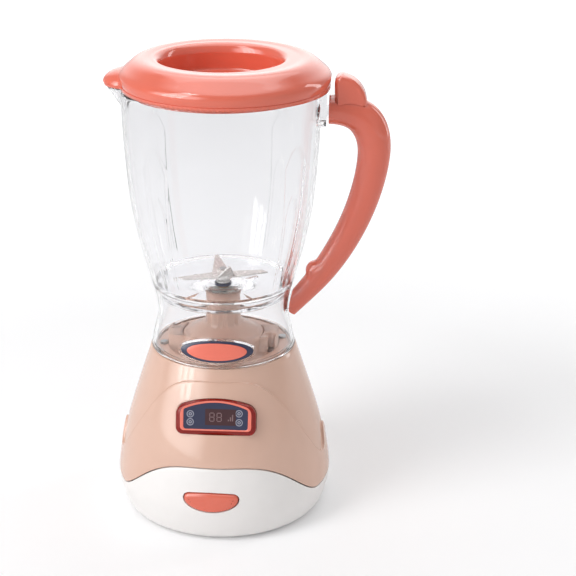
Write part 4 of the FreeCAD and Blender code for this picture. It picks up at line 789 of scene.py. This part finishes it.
class MESH_OT_blender_finishes(bpy.types.Operator):
    """Make the materials and put them on the solids"""
    bl_idname = "mesh.blender_finishes"
    bl_label = "Finishes"

    def execute(self, context):
        build_materials(context.scene.blender_finish)
        for name, obj in frame["nodes"].items():
            obj.data.materials.clear()
            obj.data.materials.append(MATERIALS[SLOTS[name]])
        return {"FINISHED"}


class MESH_OT_blender_lower_housing(Piece, bpy.types.Operator):
    """White housing: bowl-shaped wall with a wavy top, button opening and the holes of the underside"""
    bl_idname = "mesh.blender_lower_housing"
    bl_label = "Lower housing"

    def execute(self, context):
        edge = self.detail.edge / MM

        def top(turn):
            return split_height(turn) - SPLIT_GAP / 2

        def outer(share):
            def at(turn):
                height = share * (top(turn) - edge)
                return base_radius(height), height
            return at

        def shoulder(inset, drop):
            return lambda turn: (base_radius(top(turn)) - inset, top(turn) - drop)

        def inner(share):
            def at(turn):
                height = top(turn) + (FLOOR_T - top(turn)) * share
                return base_radius(height) - WALL, height
            return at

        heel = [(radius, 0.0) for radius in (0.0, 20.0, 40.0)]
        wall = [outer(share ** 1.4) for share in spread(0, 1, 44)]
        rim = [shoulder(0.15 * edge, 0.6 * edge), shoulder(0.45 * edge, 0.2 * edge), shoulder(edge, 0)]
        inside = [inner(share) for share in spread(0, 1, 10)]
        floor = [(20.0, FLOOR_T), (0.0, FLOOR_T)]
        obj = turned("lower_wall", AROUND_BASE, heel + wall + rim + inside + floor)
        hole = button_outline()
        cut_away(obj, prism("hole", AROUND_BUTTON, hole, -BUTTON_GAP, upright, *BUTTON_CUT_Y))
        cut_away(obj, self.cover_hole())
        for x, y in HOUSING_SCREWS:
            cut_away(obj, rod(SCREW_HOLE_R, 2 * SCREW_SEAT_Z, (x, y, 0)))
        rounded = bead(
            "button_rim", AROUND_BUTTON, lambda share: self.under(hole(share, -BUTTON_GAP - BEAD_DEEP)),
            BUTTON_BEAD_R,
        )
        stand_in(joined(smooth(obj), smooth(rounded)), "lower_housing")
        return {"FINISHED"}

    def under(self, point):
        """Point just under the skin, at the button's opening."""
        return on_base(*point, -BEAD_DEEP)

    def cover_hole(self):
        """Tool as wide as the battery cover with its tab."""
        deep = FLOOR_T + CUT_PAST
        plate = box_between((-COVER_X, COVER_Y0, -deep), (COVER_X, COVER_Y1, deep))
        tab = box_between(
            (TAB_X - TAB_WIDE / 2, TAB_LOW_Y, -deep), (TAB_X + TAB_WIDE / 2, COVER_Y0 + 1, deep)
        )
        apply_modifier(plate, "BOOLEAN", operation="UNION", solver="EXACT", object=tab)
        bpy.data.objects.remove(tab, do_unlink=True)
        return plate


class MESH_OT_blender_upper_housing(Piece, bpy.types.Operator):
    """Tan housing with the raised apron, the opening of the display and the ledge under the collar"""
    bl_idname = "mesh.blender_upper_housing"
    bl_label = "Upper housing"

    def execute(self, context):
        edge = self.detail.edge / MM

        def bottom(turn):
            return split_height(turn) + SPLIT_GAP / 2

        def rim(inset, lift):
            return lambda turn: (base_radius(bottom(turn)) - inset, bottom(turn) + lift)

        def apron(share):
            def at(turn):
                low = bottom(turn) + edge
                height = low + (apron_height(turn) - APRON_SOFT / 2 - low) * share
                return base_radius(height), height
            return at

        def step(share):
            def at(turn):
                height = apron_height(turn) + APRON_SOFT * (share - 0.5)
                return base_radius(height) - APRON * ease(share), height
            return at

        def above(share):
            def at(turn):
                low = apron_height(turn) + APRON_SOFT / 2
                height = low + (SEAM_Z - edge - low) * share
                return base_radius(height) - APRON, height
            return at

        def inner(share):
            def at(turn):
                top = SEAM_Z - LEDGE_T
                height = top + (bottom(turn) - top) * share
                return base_radius(height) - WALL, height
            return at

        seam_r = base_radius(SEAM_Z) - APRON
        ledge = [
            (seam_r - 0.15 * edge, SEAM_Z - 0.4 * edge), (seam_r - 0.5 * edge, SEAM_Z),
            (GROOVE_OUT_R, SEAM_Z), (GROOVE_OUT_R, SEAM_Z - GROOVE_DEPTH),
            (GROOVE_IN_R, SEAM_Z - GROOVE_DEPTH), (GROOVE_IN_R, SEAM_Z),
            (LEDGE_HOLE_R, SEAM_Z), (LEDGE_HOLE_R, SEAM_Z - LEDGE_T),
        ]
        lower = [rim(edge, 0), rim(0.45 * edge, 0.2 * edge), rim(0.15 * edge, 0.6 * edge)]
        stations = (
            lower + [apron(share) for share in spread(0, 1, 36)]
            + [step(share) for share in spread(0.12, 0.88, 6)]
            + [above(share) for share in spread(0, 1, 20)] + ledge
            + [inner(share) for share in spread(0, 1, 12)] + lower[:1]
        )
        obj = turned("upper_wall", AROUND_BASE, stations)
        hole = panel_outline(**LENS)
        cut_away(obj, prism("hole", AROUND_PANEL_HOLE, hole, -LENS_GAP, on_panel, -12, 14))
        rounded = bead(
            "display_rim", AROUND_PANEL_HOLE,
            lambda share: self.under(hole(share, -LENS_GAP - LENS_BEAD_OUT)), LENS_BEAD_R,
        )
        edge_line = bead("apron_edge", AROUND_BASE, self.apron_edge, APRON_BEAD_R)
        stand_in(joined(smooth(obj), smooth(rounded), smooth(edge_line)), "upper_housing")
        return {"FINISHED"}

    def under(self, point):
        """Point just under the skin, at the lens opening."""
        x, y, z = panel_meets_base(*point)
        return x, y + BEAD_DEEP, z

    def apron_edge(self, share):
        """Line just under the skin of the apron's upper edge."""
        turn = FULL_TURN * share
        height = apron_height(turn) - APRON_SOFT / 2
        radius = base_radius(height) - APRON_BEAD_DEEP
        return radius * math.cos(turn), radius * math.sin(turn), height


class MESH_OT_blender_button(Piece, bpy.types.Operator):
    """Crowned half-moon button with its flange and stem"""
    bl_idname = "mesh.blender_button"
    bl_label = "Push button"

    def execute(self, context):
        outline = button_outline()
        hollow = -BUTTON_CAP_T
        flange_out = -WALL - SLIP
        flange_in = flange_out - BUTTON_FLANGE_T
        steps = (                  # inset from the outline, height over the base
            (BUTTON_WALL, hollow), (BUTTON_WALL, flange_in), (-BUTTON_FLANGE, flange_in),
            (-BUTTON_FLANGE, flange_out), (0.0, flange_out), (0.0, 0.05), (0.1, 0.35),
            (0.35, 0.62), (0.8, 0.8), (1.5, 0.88), (2.6, BUTTON_PROUD), (4.2, BUTTON_PROUD),
        )
        cap = skin("cap", AROUND_BUTTON, [
            at_point(*on_base(*outline.middle, hollow)),
            *[flat_ring(outline, inset, on_base, proud) for inset, proud in steps],
            at_point(*on_base(*outline.middle, BUTTON_PROUD)),
        ])
        stem_y = (STEM_FROM_Y + STEM_TO_Y) / 2
        stem = rod(STEM_R, STEM_TO_Y - STEM_FROM_Y, (BUTTON_X, stem_y, STEM_Z), lying=True)
        stand_in(joined(smooth(cap), smooth(stem)), "push_button")
        return {"FINISHED"}


class MESH_OT_blender_display(Piece, bpy.types.Operator):
    """Red lens with a round edge, its printed label, the window, figures and rings"""
    bl_idname = "mesh.blender_display"
    bl_label = "Display"

    def execute(self, context):
        self.lens()
        self.label()
        self.figures()
        return {"FINISHED"}

    def lens(self):
        """Tray and its front frame, the frame a brighter red that paints the highlight of the lens's lit
        face, as rings of (inset, depth).
        """
        outline, face, recess = (panel_outline(**sizes) for sizes in (LENS, FACE, LABEL))
        step = 0.25

        def rings(around, steps):
            return [flat_ring(around, inset, on_panel, depth) for inset, depth in steps]

        tray = [at_point(*on_panel(0, 0, LENS_FRONT_T))]
        tray += rings(outline, (
            (LENS_WALL, LENS_FRONT_T), (LENS_WALL, LENS_DEPTH), (0.0, LENS_DEPTH), (0.0, 1.25), (0.06, 1.0),
            (0.2, 0.8),
        ))
        tray += rings(face, ((-0.3, 0.16), (-0.16, 0.06), (SLIP, 0.04), (SLIP, step)))
        tray += rings(recess, ((-SLIP, step), (-SLIP, LABEL_T + SLIP)))
        tray += [at_point(*on_panel(0, 0, LABEL_T + SLIP))]
        stand_in(smooth(skin("lens", AROUND_LENS, tray)), "display_lens")
        # The front frame is given the brighter red as painted highlight of the lens's face.
        front = rings(face, ((2 * SLIP, step - SLIP), (2 * SLIP, 0.1), (0.16, 0.02), (0.3, 0.0)))
        front += rings(recess, ((-0.2, 0.0), (-SLIP, 0.1), (-SLIP, step - SLIP)))
        frame_piece = smooth(skin("lens_face", AROUND_LENS, front + front[:1]))
        dress(frame_piece, "piece_display_face", "base", "lens_face")

    def label(self):
        outline = panel_outline(**LABEL)
        stand_in(smooth(skin("label", AROUND_LENS, [
            at_point(*on_panel(0, 0, LABEL_T)), flat_ring(outline, 0, on_panel, LABEL_T),
            flat_ring(outline, 0, on_panel, 0.12), flat_ring(outline, 0.07, on_panel, SLIP),
            at_point(*on_panel(0, 0, SLIP)),
        ])), "display_label")

    def plate(self, name, corners, front, back):
        """Thin flat piece on the panel with the given corners."""
        return prism(name, 64, Outline(corners), 0, on_panel, back, front)

    def figures(self):
        """Printed window, two figures with three bars, and four double rings."""
        left, right, low, high = WINDOW
        window = self.plate("window", [(right, low), (right, high), (left, high), (left, low)], 0.0, 0.2)
        dress(smooth(window), "piece_display_window", "base", "window")
        tall, wide, stroke = (
            size / MM for size in (self.detail.digit_high, self.detail.digit_wide, self.detail.digit_stroke)
        )
        parts = []
        for x in FIGURES_X:
            for z in (-tall / 2, 0, tall / 2):
                parts.append(self.segment(x - wide / 2, z, x + wide / 2, z, stroke))
            for z in (-tall / 2, 0):
                for side in (-wide / 2, wide / 2):
                    parts.append(self.segment(x + side, z, x + side, z + tall / 2, stroke))
        for index, x in enumerate(BARS_X):
            top = -tall / 2 + BAR_STEP * (index + 1)
            parts.append(self.segment(x, -tall / 2, x, top, BAR_STROKE * stroke))
        dress(joined(*parts), "piece_display_figures", "base", "figures")
        outer = self.detail.icon_r / MM
        radii = (outer, ICON_INNER * outer)
        printed = [self.ring(x, z, radius, ICON_STROKE) for x, z in ICONS for radius in radii]
        dress(joined(*printed), "piece_display_icons", "base", "icons")

    def segment(self, x0, z0, x1, z1, stroke):
        """Six-sided bar between two points of the panel."""
        first, last = np.array((x0, z0), float), np.array((x1, z1), float)
        along = (last - first) / np.linalg.norm(last - first)
        side = np.array((-along[1], along[0])) * stroke / 2
        start, end = first + along * stroke * 0.2, last - along * stroke * 0.2
        near, far = start + along * stroke / 2, end - along * stroke / 2
        corners = [end, far + side, near + side, start, near - side, far - side]
        return self.plate("segment", corners, -0.04, 0.05)

    def ring(self, x, z, radius, stroke):
        """Thin printed ring."""
        def at(reach, depth):
            return lambda share: on_panel(
                x + reach * math.cos(FULL_TURN * share), z + reach * math.sin(FULL_TURN * share), depth
            )
        inner, outer = radius - stroke / 2, radius + stroke / 2
        section = ((inner, 0.1), (inner, 0.0), (outer, 0.0), (outer, 0.1), (inner, 0.1))
        return skin("ring", 40, [at(reach, depth) for reach, depth in section])


class MESH_OT_blender_jug(Piece, bpy.types.Operator):
    """Clear jug wall with pressed panels and a spout"""
    bl_idname = "mesh.blender_jug"
    bl_label = "Jug"

    def execute(self, context):
        outer = [self.outer(height) for height in spread(JOIN_Z + 0.3, RIM_Z - 0.5, 96)]
        rim = [self.rim(inset, drop) for inset, drop in (
            (0.2, 0.15), (0.6, 0.0), (CLEAR_WALL - 0.6, 0.0), (CLEAR_WALL - 0.2, 0.15),
        )]
        inner = [self.inner(height) for height in spread(RIM_Z - 0.5, JOIN_Z + CLEAR_WALL, 36)]
        foot_r = jug_radius(JOIN_Z)
        foot = [(foot_r - 2 * CLEAR_WALL, JOIN_Z), (foot_r - 0.3, JOIN_Z)]
        wall = turned("jug_wall", AROUND_JUG, outer + rim + inner + foot + outer[:1])
        stand_in(smooth(wall), "jug_body")
        return {"FINISHED"}

    def spout(self, turn, height, wall):
        """Reach of the spout's cone from the axis, or 0 where it has none."""
        share = (height - SPOUT_FOOT_Z) / (RIM_Z - SPOUT_FOOT_Z)
        if share <= 0:
            return 0.0
        long = SPOUT_FOOT_LONG + (SPOUT_LONG - SPOUT_FOOT_LONG) * share - wall
        half = SPOUT_FOOT_HALF + (SPOUT_HALF - SPOUT_FOOT_HALF) * share - wall
        return ellipse_reach(turn, -SPOUT_CENTRE, long, half)

    def flutes(self, turn, height):
        """Depth of the pressed panels."""
        off = (math.degrees(turn) + 90 - FLUTE_TURN) % (360 / FLUTE_COUNT)
        off = min(off, 360 / FLUTE_COUNT - off)
        across = math.sin(math.radians(off)) * jug_radius(height)
        depth = 0.0
        for foot_half, hip_half, foot_z, hip_z, tip_z, deep in FLUTES:
            if height < hip_z:
                half = foot_half + (hip_half - foot_half) * (height - foot_z) / (hip_z - foot_z)
            else:
                half = hip_half * math.sqrt(max(0.0, (tip_z - height) / (tip_z - hip_z)))
            inside = min(half - across, (height - foot_z) / 2, tip_z - height)
            depth += deep * ease(inside / FLUTE_SOFT + 0.5)
        return depth

    def outer(self, height):
        def at(turn):
            radius = jug_radius(height) - self.flutes(turn, height)
            return soft_max(radius, self.spout(turn, height, 0.0), SPOUT_BLEND), height
        return at

    def inner(self, height):
        def at(turn):
            radius = jug_radius(height) - CLEAR_WALL
            return soft_max(radius, self.spout(turn, height, SPOUT_WALL), SPOUT_BLEND), height
        return at

    def rim(self, inset, drop):
        share = inset / CLEAR_WALL

        def at(turn):
            radius = jug_radius(RIM_Z)
            out = soft_max(radius, self.spout(turn, RIM_Z, 0.0), SPOUT_BLEND)
            into = soft_max(radius - CLEAR_WALL, self.spout(turn, RIM_Z, SPOUT_WALL), SPOUT_BLEND)
            return out + (into - out) * share, RIM_Z - drop
        return at


def ellipse_reach(turn, centre_x, long, half, origin_x=0.0):
    """Distance from (origin_x, 0) to the far side of an ellipse on the X axis, in direction turn, or 0."""
    along_x, along_y = math.cos(turn) / long, math.sin(turn) / half
    start = (origin_x - centre_x) / long
    a = along_x ** 2 + along_y ** 2
    b = start * along_x
    room = b * b - a * (start * start - 1)
    return max(0.0, (-b + math.sqrt(room)) / a) if room > 0 else 0.0


def soft_max(first, second, blend):
    """The larger of two, with a fillet where they are nearly equal."""
    gap = max(blend - abs(first - second), 0.0) / blend
    return max(first, second) + gap * gap * blend / 4


class MESH_OT_blender_collar(Piece, bpy.types.Operator):
    """Clear collar with its lip, the oval pad of the badge and the pad under the handle"""
    bl_idname = "mesh.blender_collar"
    bl_label = "Collar"

    def execute(self, context):
        foot_z = SEAM_Z + REST_GAP
        top_z = JOIN_Z - 0.05
        outer = [(collar_radius(height), height) for height in spread(foot_z + 0.4, top_z, 40)]
        inner = [(collar_radius(height) - CLEAR_WALL, height) for height in spread(top_z, foot_z + 1.4, 30)]
        lip_in, lip_out = GROOVE_IN_R + REST_GAP, collar_radius(SEAM_Z) - CLEAR_WALL + SLIP
        lip = [
            (lip_in, foot_z + 1.0), (lip_in, SEAM_Z - LIP_LOW), (lip_out, SEAM_Z - LIP_LOW),
            (lip_out, foot_z), (collar_radius(foot_z) - 0.4, foot_z),
            (collar_radius(foot_z) - 0.1, foot_z + 0.1),
        ]
        wall = smooth(turned("collar_wall", AROUND_COLLAR, outer + inner + lip + outer[:1]))
        stand_in(joined(wall, self.handle_pad()), "jug_collar")
        dress(self.badge_rim(), "piece_badge_rim", "jug", "clear_thick")
        return {"FINISHED"}

    def badge_rim(self):
        """Raised oval rim round the badge, as rings that stand out of it by (sideways, forwards)."""
        top = BADGE_RIM_PROUD
        steps = (
            (BADGE_RIM, -2.2), (BADGE_RIM, top - 0.4), (BADGE_RIM * 0.8, top - 0.08), (BADGE_RIM * 0.5, top),
            (0.25, top - 0.1), (SLIP, top - 0.45), (SLIP, -2.2), (BADGE_RIM, -2.2),
        )
        rings = [badge_ring(BADGE_HALF + grow, BADGE_HIGH + grow, proud) for grow, proud in steps]
        return smooth(skin("badge_rim", AROUND_BADGE, rings))

    def handle_pad(self):
        """Block that closes the handle's lower end on the collar."""
        block = box_between(PAD_LOW, PAD_HIGH)
        apply_modifier(block, "BEVEL", width=0.5 * MM, segments=2)
        return smooth(block)


def badge_ring(half, high, proud):
    """Oval ring on the wide bow that carries the badge."""
    lean_y, lean_z = math.sin(BADGE_LEAN), math.cos(BADGE_LEAN)

    def at(share):
        x = half * math.cos(FULL_TURN * share)
        z = high * math.sin(FULL_TURN * share)
        reach = math.sqrt((BADGE_BOW_R + proud) ** 2 - x * x) / lean_z
        return x, BADGE_BOW_R - BADGE_REACH - reach + z * lean_y / lean_z, BADGE_Z + z
    return at


class MESH_OT_blender_badge(Piece, bpy.types.Operator):
    """Blank oval badge: navy plate with a coral inlay"""
    bl_idname = "mesh.blender_badge"
    bl_label = "Badge"

    def execute(self, context):
        stand_in(self.oval("plate", BADGE_HALF, BADGE_HIGH, 0.0, BADGE_T), "badge_plate")
        stand_in(self.oval("inlay", INLAY_HALF, INLAY_HIGH, BADGE_T, BADGE_T + INLAY_T), "badge_inlay")
        return {"FINISHED"}

    def oval(self, name, half, high, under, over):
        """Bowed oval plate with a softened front edge."""
        edge = 0.16
        steps = ((0, under), (0, over - edge), (0.3 * edge, over - 0.3 * edge), (edge, over))
        rings = [badge_ring(0.001, 0.001, under)]
        rings += [badge_ring(half - inset, high - inset, proud) for inset, proud in steps]
        rings += [badge_ring(half * share, high * share, over) for share in (0.8, 0.6, 0.4, 0.2)]
        rings += [badge_ring(0.001, 0.001, over)]
        return smooth(skin(name, AROUND_BADGE, rings))


class MESH_OT_blender_lid(Piece, bpy.types.Operator):
    """Lid: round ring with a deep well, a beak over the spout and a notch at the handle"""
    bl_idname = "mesh.blender_lid"
    bl_label = "Lid"

    def execute(self, context):
        outer = [
            turned_ring(self.station(radius, height), LID_X) for radius, height in smooth_points(LID_LINE, 60)
        ]
        crest_r, top = LID_LINE[-1]
        lip_r = WELL_R + MOUTH_ROUND
        level = [
            turned_ring((crest_r + (lip_r - crest_r) * share, top), LID_X * (1 - share))
            for share in (0.33, 0.67)
        ]
        lip = [
            turned_ring((lip_r - MOUTH_ROUND * math.sin(angle), top - MOUTH_DROP * (1 - math.cos(angle))))
            for angle in spread(0, math.pi / 2, 18)
        ]
        well = [(WELL_R, height) for height in spread(top - MOUTH_DROP - 1, WELL_FLOOR_Z + 1.2, 5)]
        well += [
            (WELL_R - 0.3, WELL_FLOOR_Z + 0.45), (WELL_R - 1.1, WELL_FLOOR_Z), (15.0, WELL_FLOOR_Z),
            (0.0, WELL_FLOOR_Z),
        ]
        under_z, under_r, inner_top = WELL_FLOOR_Z - LID_WALL, WELL_R + LID_WALL, top - LID_WALL
        under = [
            (0.0, under_z), (15.0, under_z), (under_r, under_z), (under_r, inner_top - 3.6),
            (lip_r, inner_top),
        ]
        inside = smooth_points([
            (36.0, inner_top), (40.4, inner_top - 0.1), (44.6, 225.9), (48.2, 222.4), (47.6, SHELL_Z),
        ], 16)
        inside = [turned_ring(self.station(radius, height, LID_WALL), LID_X) for radius, height in inside]
        hollow = [turned_ring(station) for station in well + under]
        shell = skin("lid", AROUND_LID, outer + level + lip + hollow + inside + outer[:1])
        stand_in(smooth(shell), "lid_shell")
        return {"FINISHED"}

    def station(self, radius, height, wall=0.0):
        """Ring of the shell with the beak and the notch taken in."""
        def at(turn):
            reach = radius
            up = (height - BEAK_Z) / (BEAK_HIGH - wall)
            if abs(up) < 1 and radius > BEAK_CENTRE:
                flat = math.sqrt(1 - up * up)
                long, half = (BEAK_LONG - wall) * flat, (BEAK_HALF - wall) * flat
                beak = ellipse_reach(turn, -BEAK_CENTRE, long, half, LID_X)
                reach = soft_max(reach, beak, BEAK_BLEND)
            return -soft_max(-reach, -self.notch(turn, height, wall), BEAK_BLEND), height
        return at

    def notch(self, turn, height, wall):
        """Distance from the lid's axis to the near side of the round notch, or a long way."""
        flat = NOTCH_R ** 2 - (height - NOTCH_Z) ** 2 - ((NOTCH_X - LID_X) * math.sin(turn)) ** 2
        if flat <= 0 or math.cos(turn) <= 0:
            return 2 * RIM_R
        return (NOTCH_X - LID_X) * math.cos(turn) - math.sqrt(flat) - wall


class MESH_OT_blender_handle(Piece, bpy.types.Operator):
    """Two half shells of the curved handle, split along the middle"""
    bl_idname = "mesh.blender_handle"
    bl_label = "Handle"

    def execute(self, context):
        line = smooth_points(HANDLE_LINE, 130)
        line = line[np.searchsorted(line[:, 0], HANDLE_ROOT_X):] if line[0, 0] < HANDLE_ROOT_X else line
        ahead = np.gradient(line[:, :2], axis=0)
        ahead /= np.linalg.norm(ahead, axis=1)[:, None]
        for side, name in ((-1, "handle_front"), (1, "handle_back")):
            rings = [self.ring(line[i], ahead[i], side) for i in range(len(line))]
            half = skin(name, 36, rings)
            apply_modifier(half, "SOLIDIFY", thickness=HANDLE_WALL * MM, offset=-1)
            merge_and_face_out(half)
            cut_away(half, self.end_cut())
            if side > 0:
                for x, z in HANDLE_SCREWS:
                    cut_away(half, rod(HANDLE_SCREW_HOLE_R, 14.0, (x, 10.0, z), sides=32, lying=True))
            stand_in(smooth(half), name)
        return {"FINISHED"}

    def ring(self, point, ahead, side):
        """Half round section of the bar, its edges drawn in at the seam, with the finger bump inside."""
        x, z, width = point
        across = np.array((ahead[1], -ahead[0]))
        seam = 0.12

        def at(share):
            angle = math.pi * share
            off = math.cos(angle) * width / 2
            deep = math.sin(angle) * width * HANDLE_DEPTH / 2
            soften = 1 - seam / (width / 2) * math.exp(-((deep / 0.45) ** 2))
            inner_side = max(0.0, math.cos(angle)) ** 1.5
            away = math.hypot(x - BUMP_AT[0], z - BUMP_AT[1])
            off = off * soften + inner_side * BUMP_HIGH * math.exp(-((away / BUMP_LONG) ** 4))
            return x + across[0] * off, side * max(deep, 0.0), z + across[1] * off
        return at

    def end_cut(self):
        """The collar and jug with the handle's gap round them."""
        gap = HANDLE_END_GAP
        line = [(collar_radius(z) + gap, z) for z in spread(SEAM_Z, JOIN_Z, 20)]
        line += [(jug_radius(z) + gap, z) for z in spread(JOIN_Z + 1, END_CUT_TOP_Z, 16)]
        return turned("end_cut", 180, [(0.0, SEAM_Z)] + line + [(0.0, END_CUT_TOP_Z)])


OWN_NODES = {                      # solids whose piece another operator models
    "lower_housing", "upper_housing", "push_button", "display_lens", "display_label", "jug_body",
    "jug_collar", "badge_plate", "badge_inlay", "lid_shell", "handle_front", "handle_back",
}


class MESH_OT_blender_shells(Piece, bpy.types.Operator):
    """Smooth copies of the other moulded, plated and turned pieces"""
    bl_idname = "mesh.blender_shells"
    bl_label = "Other pieces"

    def execute(self, context):
        for name in BODY_OF:
            if name not in OWN_NODES:
                shell = bpy.data.objects.new(name, frame["nodes"][name].data.copy())
                bpy.context.scene.collection.objects.link(shell)
                merge_and_face_out(shell)
                stand_in(smooth(shell), name)
        return {"FINISHED"}


# ---------------------------------------------------------------- operator: stage
class SCENE_OT_blender_stage(bpy.types.Operator):
    """Floor, lights, room and camera"""
    bl_idname = "scene.blender_stage"
    bl_label = "Stage"

    def execute(self, context):
        settings = context.scene.blender_stage
        self.floor(settings)
        self.world(settings)
        self.lights(settings)
        self.camera()
        return {"FINISHED"}

    def floor(self, settings):
        """Pale matt floor, lifted to white for what looks at it and further away for what mirrors it."""
        bpy.ops.object.select_all(action="DESELECT")
        bpy.ops.mesh.primitive_plane_add(size=FLOOR_SIZE, location=(0, 0, 0))
        floor = bpy.context.object
        floor.name = "floor"
        material, tree, shader = new_material("floor_painted_pale")
        rays = tree.nodes.new("ShaderNodeLightPath").outputs
        place = node(tree, "ShaderNodeTexCoord", out="Object")
        away = node(tree, "ShaderNodeVectorMath", {0: place}, "Value", operation="LENGTH")
        direct = node(tree, "ShaderNodeMapRange", {
            "Value": away, "From Min": GLOW_NEAR, "From Max": GLOW_FULL,
            "To Min": settings.glow, "To Max": settings.glow_far,
        })
        mirrored = node(tree, "ShaderNodeMapRange", {
            "Value": away, "From Min": MIRROR_NEAR, "From Max": MIRROR_FULL,
            "To Max": settings.glow_mirrored,
        })
        lift = 0.0
        levels = {"Camera": direct, "Transmission": settings.glow_through, "Glossy": mirrored}
        for kind, level in levels.items():
            lift = node(tree, "ShaderNodeMath", {
                0: rays["Is " + kind + " Ray"], 1: level, 2: lift,
            }, operation="MULTIPLY_ADD")
        set_inputs(tree, shader, {
            "Base Color": drift(tree, grain(tree, 40 * MM), tuple(settings.floor), 0.995, 1.0),
            "Roughness": 0.9, "Specular IOR Level": 0.1, "Emission Color": (1, 1, 1, 1),
            "Emission Strength": lift,
        })
        floor.data.materials.append(material)

    def world(self, settings):
        """Even light, soft bright patches that only gloss shows, and white for what looks at it."""
        world = bpy.data.worlds.new("room")
        bpy.context.scene.world = world
        world.use_nodes = True
        tree = world.node_tree
        tree.nodes.clear()
        rays = tree.nodes.new("ShaderNodeLightPath").outputs
        towards = node(tree, "ShaderNodeTexCoord", out="Generated")
        bright = settings.world
        # Each patch: its direction, the cosines at its rim and middle, its strength.
        for direction, low, high, strength in (
            ((0, 0.85, 0.53), 0.72, 0.95, settings.sky),
            ((-0.74, -0.62, 0.25), 0.78, 0.97, settings.wall),
            ((0, 0.1, 0.995), 0.74, 0.96, settings.ceiling),
        ):
            near = node(tree, "ShaderNodeVectorMath", {
                0: towards, 1: direction,
            }, "Value", operation="DOT_PRODUCT")
            patch = node(tree, "ShaderNodeMapRange", {
                "Value": near, "From Min": low, "From Max": high, "To Max": strength,
            }, interpolation_type="SMOOTHSTEP")
            bright = node(tree, "ShaderNodeMath", {0: patch, 1: bright}, operation="ADD")
        strength = node(tree, "ShaderNodeMix", {
            "Factor": rays["Is Glossy Ray"], "A": settings.world, "B": bright,
        }, "Result")
        seen = node(tree, "ShaderNodeMath", {
            0: rays["Is Camera Ray"], 1: rays["Is Transmission Ray"],
        }, operation="MAXIMUM")
        room, white = (
            node(tree, "ShaderNodeBackground", {"Color": (1, 1, 1, 1), "Strength": level})
            for level in (strength, 1.0)
        )
        mixed = node(tree, "ShaderNodeMixShader", {0: seen, 1: room, 2: white})
        set_inputs(tree, tree.nodes.new("ShaderNodeOutputWorld"), {"Surface": mixed})

    def lights(self, settings):
        target = Vector((0, 0, 0.11))
        # Each lamp: its name, power, size and place in metres.
        for name, power, size, place in (
            ("key", settings.key, (1.2, 0.9), (-0.9, -0.75, 0.7)),
            ("fill", settings.fill, (0.9, 0.9), (0.85, -0.7, 0.45)),
            ("rim", settings.rim, (0.2, 0.9), (0.95, 0.55, 0.5)),
            ("top", settings.top, (1.4, 0.9), (0.0, 0.5, 1.3)),
        ):
            self.lamp(name, power, size, Vector(place), target)
        columns, rows = WINDOW_PANES
        for column in range(columns):
            for row in range(rows):
                around = math.radians(WINDOW_TURN + PANE_STEP[0] * (column - (columns - 1) / 2))
                up = math.radians(WINDOW_LOW + PANE_STEP[1] * row)
                level = Vector((-math.sin(around), -math.cos(around), 0)) * math.cos(up)
                towards = level + Vector((0, 0, math.sin(up)))
                place = target + towards * WINDOW_AWAY
                self.lamp("pane", settings.window / (columns * rows), PANE, place, target)

    def lamp(self, name, power, size, place, target):
        """Rectangular light at place that faces target."""
        lamp = bpy.data.lights.new(name, "AREA")
        lamp.shape = "RECTANGLE"
        lamp.size, lamp.size_y = size
        lamp.energy = power
        obj = bpy.data.objects.new(name, lamp)
        bpy.context.scene.collection.objects.link(obj)
        obj.location = place
        obj.rotation_euler = (target - place).to_track_quat("-Z", "Y").to_euler()

    def camera(self):
        data = bpy.data.cameras.new("camera")
        camera = bpy.data.objects.new("camera", data)
        bpy.context.scene.collection.objects.link(camera)
        look = LOOK.normalized()
        right = look.cross(Vector((0, 0, 1))).normalized()
        above = right.cross(look)
        turned_right = right * math.cos(ROLL) + above * math.sin(ROLL)
        turned_above = above * math.cos(ROLL) - right * math.sin(ROLL)
        turn = Matrix((turned_right, turned_above, -look)).transposed().to_4x4()
        camera.matrix_world = Matrix.Translation(EYE) @ turn
        data.lens = LENS_MM
        data.sensor_width = SENSOR_MM
        data.clip_start = 0.01
        data.clip_end = 20
        bpy.context.scene.camera = camera
        bpy.context.scene.view_settings.view_transform = "Standard"


# ---------------------------------------------------------------- panel and registration
STEPS = (
    MESH_OT_blender_finishes,
    MESH_OT_blender_lower_housing,
    MESH_OT_blender_upper_housing,
    MESH_OT_blender_button,
    MESH_OT_blender_display,
    MESH_OT_blender_jug,
    MESH_OT_blender_collar,
    MESH_OT_blender_badge,
    MESH_OT_blender_lid,
    MESH_OT_blender_handle,
    MESH_OT_blender_shells,
    SCENE_OT_blender_stage,
)


class VIEW3D_PT_toy_blender(bpy.types.Panel):
    bl_label = "Toy blender"
    bl_idname = "VIEW3D_PT_toy_blender"
    bl_space_type = "VIEW_3D"
    bl_region_type = "UI"
    bl_category = "Toy blender"

    def draw(self, context):
        for step in STEPS:
            self.layout.operator(step.bl_idname)
        for group in ("blender_finish", "blender_detail", "blender_stage"):
            settings = getattr(context.scene, group)
            for name in settings.bl_rna.properties.keys():
                if name not in ("rna_type", "name"):
                    self.layout.prop(settings, name)


GROUPS = {"blender_finish": FinishSettings, "blender_detail": DetailSettings, "blender_stage": StageSettings}


def register():
    for group in GROUPS.values():
        bpy.utils.register_class(group)
    for step in STEPS:
        bpy.utils.register_class(step)
    bpy.utils.register_class(VIEW3D_PT_toy_blender)
    for name, group in GROUPS.items():
        setattr(bpy.types.Scene, name, bpy.props.PointerProperty(type=group))


def unregister():
    for name in GROUPS:
        delattr(bpy.types.Scene, name)
    bpy.utils.unregister_class(VIEW3D_PT_toy_blender)
    for step in reversed(STEPS):
        bpy.utils.unregister_class(step)
    for group in reversed(list(GROUPS.values())):
        bpy.utils.unregister_class(group)


def run(step):
    group, name = step.bl_idname.split(".")
    getattr(getattr(bpy.ops, group), name)()


def main():
    register()
    for step in STEPS:
        run(step)


if __name__ == "__main__":
    main()
